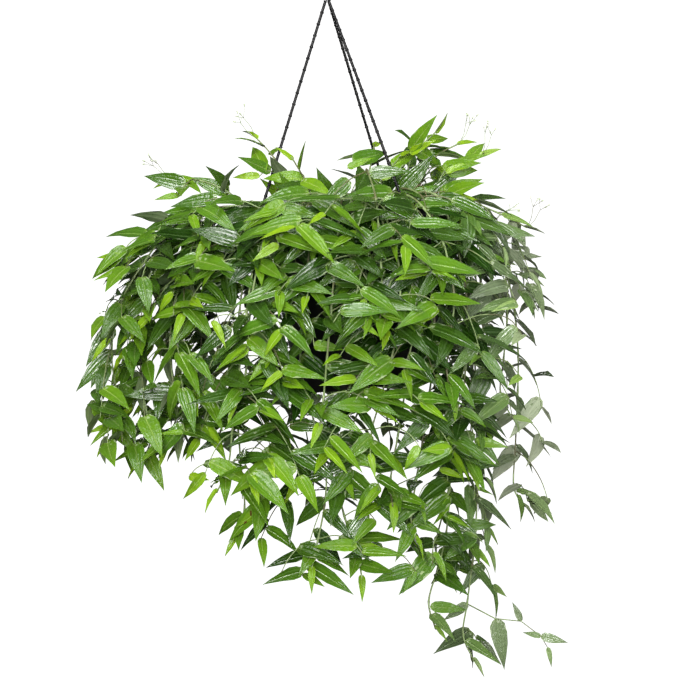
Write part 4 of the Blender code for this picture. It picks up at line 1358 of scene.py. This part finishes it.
young_leaves = [leaf[0] for stem in stems for shoot in stem["shoots"] for leaf in shoot["leaves"]
                if leaf[-1] == 2]
spotted_leaf = min(young_leaves, key=lambda base: (base - SPOTTED_PLACE).length)
skin = stem_skin()
for number, stem in enumerate(stems, 1):
    look_rng = random.Random(400 + number)
    routes = [stem_rod(stem["points"], stem["first_leaf"], STEM_ROOT_RADIUS, STEM_TIP_RADIUS, 5)]
    parts = []
    stem_tint = look_rng.uniform(-0.5, 0.5)
    count = len(stem["leaves"])
    for index, (base, along, face_up, length, width, arch, share) in enumerate(stem["leaves"]):
        age = np.interp(index / max(1, count), (0.0, 1.0), STEM_LEAF_AGES)
        age += look_rng.uniform(-0.12, 0.12)
        if share > 0.5:
            age = TUFT_AGE if share < 1.0 else TIP_AGE
        fold = math.radians(look_rng.uniform(*(OPEN_FOLD if share < 1.0 else TIP_FOLD)))
        twist = look_rng.uniform(-0.5, 0.5)
        looks = leaf_looks(base, age, stem_tint, look_rng)
        parts.append(lay_leaf(base, along, face_up, length, width, arch, fold, twist, looks))
    for shoot in stem["shoots"]:
        tender = look_rng.uniform(-0.12, 0.15)
        routes.append([(place, SHOOT_RADIUS * (1.1 - 0.4 * n / len(shoot["route"])))
                       for n, place in enumerate(shoot["route"])])
        for base, along, face_up, length, width, arch, rank in shoot["leaves"]:
            age = SHOOT_LEAF_AGES[rank] + tender + look_rng.uniform(-0.10, 0.10)
            fold = math.radians(look_rng.uniform(*(OPEN_FOLD if rank < 2 else HEAD_FOLD)))
            looks = leaf_looks(base, age, stem_tint, look_rng)
            twist = look_rng.uniform(-0.5, 0.5)
            parts.append(lay_leaf(base, along, face_up, length, width, arch, fold, twist, looks))
    piece = joined(parts + [rods("stem", routes, 6, skin)])
    seat(piece, f"trailing_stem_{number:02d}", "leaf", f"leafy_stem_{number:02d}")


# Tail fork
# Low on the longest stem a wiry side shoot breaks away and runs out sideways, kinked at each
# joint. It carries one broad leaf that hangs straight down, and a few small faded ones.
FORK_STEM = 36
FORK_DROP = 0.372
FORK_RADIUS = 0.0007
FORK_ARCH = 0.35
FORK_TWIST = 0.3
FORK_BLEACHED = 0.45
# Each joint is measured from where the shoot breaks away. A leaf has its joint's number, its way,
# its length, its fold in degrees and its age.
FORK_JOINTS = ((0.0, 0.0, 0.0), (0.026, -0.012, -0.012), (0.050, -0.020, -0.013),
               (0.068, -0.026, -0.026), (0.074, -0.028, -0.036))
FORK_LEAVES = (
    (1, (0.24, -0.10, -1.0), 0.052, 14, 0.80), (2, (-0.35, -0.20, 0.9), 0.021, 20, 0.85),
    (3, (0.90, -0.20, -0.15), 0.027, 16, 0.70), (3, (-0.80, -0.30, 0.25), 0.019, 30, 0.55),
    (4, (0.25, -0.20, -1.0), 0.020, 35, 0.45), (0, (-0.80, -0.50, -0.45), 0.030, 18, 0.80),
)

fork_way = smooth_route(stems[FORK_STEM - 1]["points"], 5)
fork_height = pot_frame.translation.z - FORK_DROP
fork_start = min(fork_way, key=lambda place: abs(place.z - fork_height))
fork_joints = [fork_start + Vector(joint) for joint in FORK_JOINTS]
fork_leaves = []
for joint, way, length, fold, age in FORK_LEAVES:
    along = Vector(way).normalized()
    face_up = LIGHT_WAY + Vector((0.3, -0.9, -0.3))
    face_up = (face_up - along * face_up.dot(along)).normalized()
    looks = {"leaf_age_and_shade": age, "leaf_tint": 0.3, "leaf_spot": 0.0, "leaf_bleached_and_lit": FORK_BLEACHED}
    fork_leaves.append(lay_leaf(fork_joints[joint], along, face_up, length, length * SHOOT_LEAF_WIDTH,
                                FORK_ARCH, math.radians(fold), FORK_TWIST, looks))
fork_route = [(joint, FORK_RADIUS * (1.0 - 0.12 * n)) for n, joint in enumerate(fork_joints)]
fork = joined(fork_leaves + [rods("fork", [fork_route], 6, skin)])
seat(fork, "tail_fork", "leaf")
bpy.data.objects.remove(flat_leaf)


# Dry runners
# Old stems that have died back, bare, thin and brown. They root in the soil and lie in loose
# loops over it and over the rim, between the living stems.
RUNNER_TURNS = (-112, -106, -101, -97, -93, -88, -84, -79, -73, -64, -38, -12, 18, 52, 88, 121,
                154, 186, 214, 236)
RUNNER_RADIUS = 0.00050
DRY_BROWN = (0.110, 0.070, 0.032, 1.0)
DRY_STRAW = (0.330, 0.270, 0.150, 1.0)


def dry_skin():
    """Dead stem, straw to dark brown, finely wrinkled."""
    made, tree, shader, place = new_finish("dry_stem_skin", 0.75, (0.20, 0.15, 0.08, 1.0))
    straw = blend(tree, stretch(tree, noise(tree, place, 60.0), 0.40, 0.60), DRY_BROWN, DRY_STRAW)
    tree.links.new(straw, shader.inputs["Base Color"])
    relief(tree, shader, noise(tree, place, 1200.0), 0.6, 0.0002)
    return made


runner_rng = random.Random(61)
runner_routes = []
for turn in RUNNER_TURNS:
    foot_reach = runner_rng.uniform(0.040, 0.072)
    drift = 0.0
    bends = []
    for reach, low, high in ((foot_reach, SOIL_TOP - 0.004, SOIL_TOP - 0.004),
                             (foot_reach + 0.008, -0.004, 0.012), (0.088, 0.004, 0.020),
                             (0.103, 0.006, 0.022), (0.112, -0.006, 0.016), (0.118, -0.040, 0.006)):
        way = math.radians(turn + drift)
        bends.append(pot_frame @ Vector((reach * math.cos(way), reach * math.sin(way),
                                         runner_rng.uniform(low, high))))
        drift += runner_rng.uniform(-9, 9)
    route = smooth_route(bends, 5)
    runner_routes.append([(place, RUNNER_RADIUS * (1.1 - 0.6 * n / len(route)))
                          for n, place in enumerate(route)])
runners = rods("runners", runner_routes, 6, dry_skin())
seat(runners, "dry_runners", "leaf")


# Flower stalks
# From the tips of a few of the upper stems stand hair-fine forked stalks. At the end of every
# twig is a tiny pale bud that has not opened yet.
STALK_LENGTH = 0.022
STALK_RADIUS = 0.00030
BUD_RADIUS = 0.0012
FLOWERING_STEMS = (1, 3, 7, 8, 28, 29)
BUD_GREEN = (0.450, 0.560, 0.300, 1.0)
PETAL_WHITE = (0.780, 0.780, 0.700, 1.0)


def bud_skin():
    """Pale green, with white petals showing through here and there."""
    made, tree, shader, place = new_finish("bud_skin", 0.5, (0.70, 0.75, 0.60, 1.0))
    pale = blend(tree, stretch(tree, noise(tree, place, 700.0), 0.40, 0.60), BUD_GREEN, PETAL_WHITE)
    tree.links.new(pale, shader.inputs["Base Color"])
    return made


def flower_bud(place, way):
    """A small egg-shaped bud that points along its stalk."""
    made = ball(place, BUD_RADIUS, 8, 6, (0.8, 0.8, 1.35), way)
    bpy.ops.object.shade_smooth()
    coat(made, buds_finish)
    return made


buds_finish = bud_skin()
stalk_rng = random.Random(71)
stalk_routes = []
buds = []
for number in FLOWERING_STEMS:
    tip = stems[number - 1]["points"][-1]
    lean = (tip - pot_frame.translation).normalized()
    for stalk in range(2):
        loose = Vector([stalk_rng.uniform(-0.5, 0.5) for axis in range(3)])
        way = (lean * 0.6 + Vector((0.0, 0.0, 0.7)) + loose).normalized()
        fork = tip + way * STALK_LENGTH
        bow = way.orthogonal() * 0.0015
        stalk_routes.append([(tip, STALK_RADIUS), (tip.lerp(fork, 0.5) + bow, STALK_RADIUS),
                             (fork, STALK_RADIUS * 0.9)])
        for twig in range(3):
            loose = Vector([stalk_rng.uniform(-0.8, 0.8) for axis in range(3)])
            ahead = (way + loose).normalized()
            end = fork + ahead * STALK_LENGTH * stalk_rng.uniform(0.3, 0.6)
            stalk_routes.append([(fork, STALK_RADIUS * 0.8), (end, STALK_RADIUS * 0.7)])
            buds.append(flower_bud(end, ahead))
stalks = joined(buds + [rods("stalks", stalk_routes, 6, skin)])
seat(stalks, "flower_stalks", "leaf")
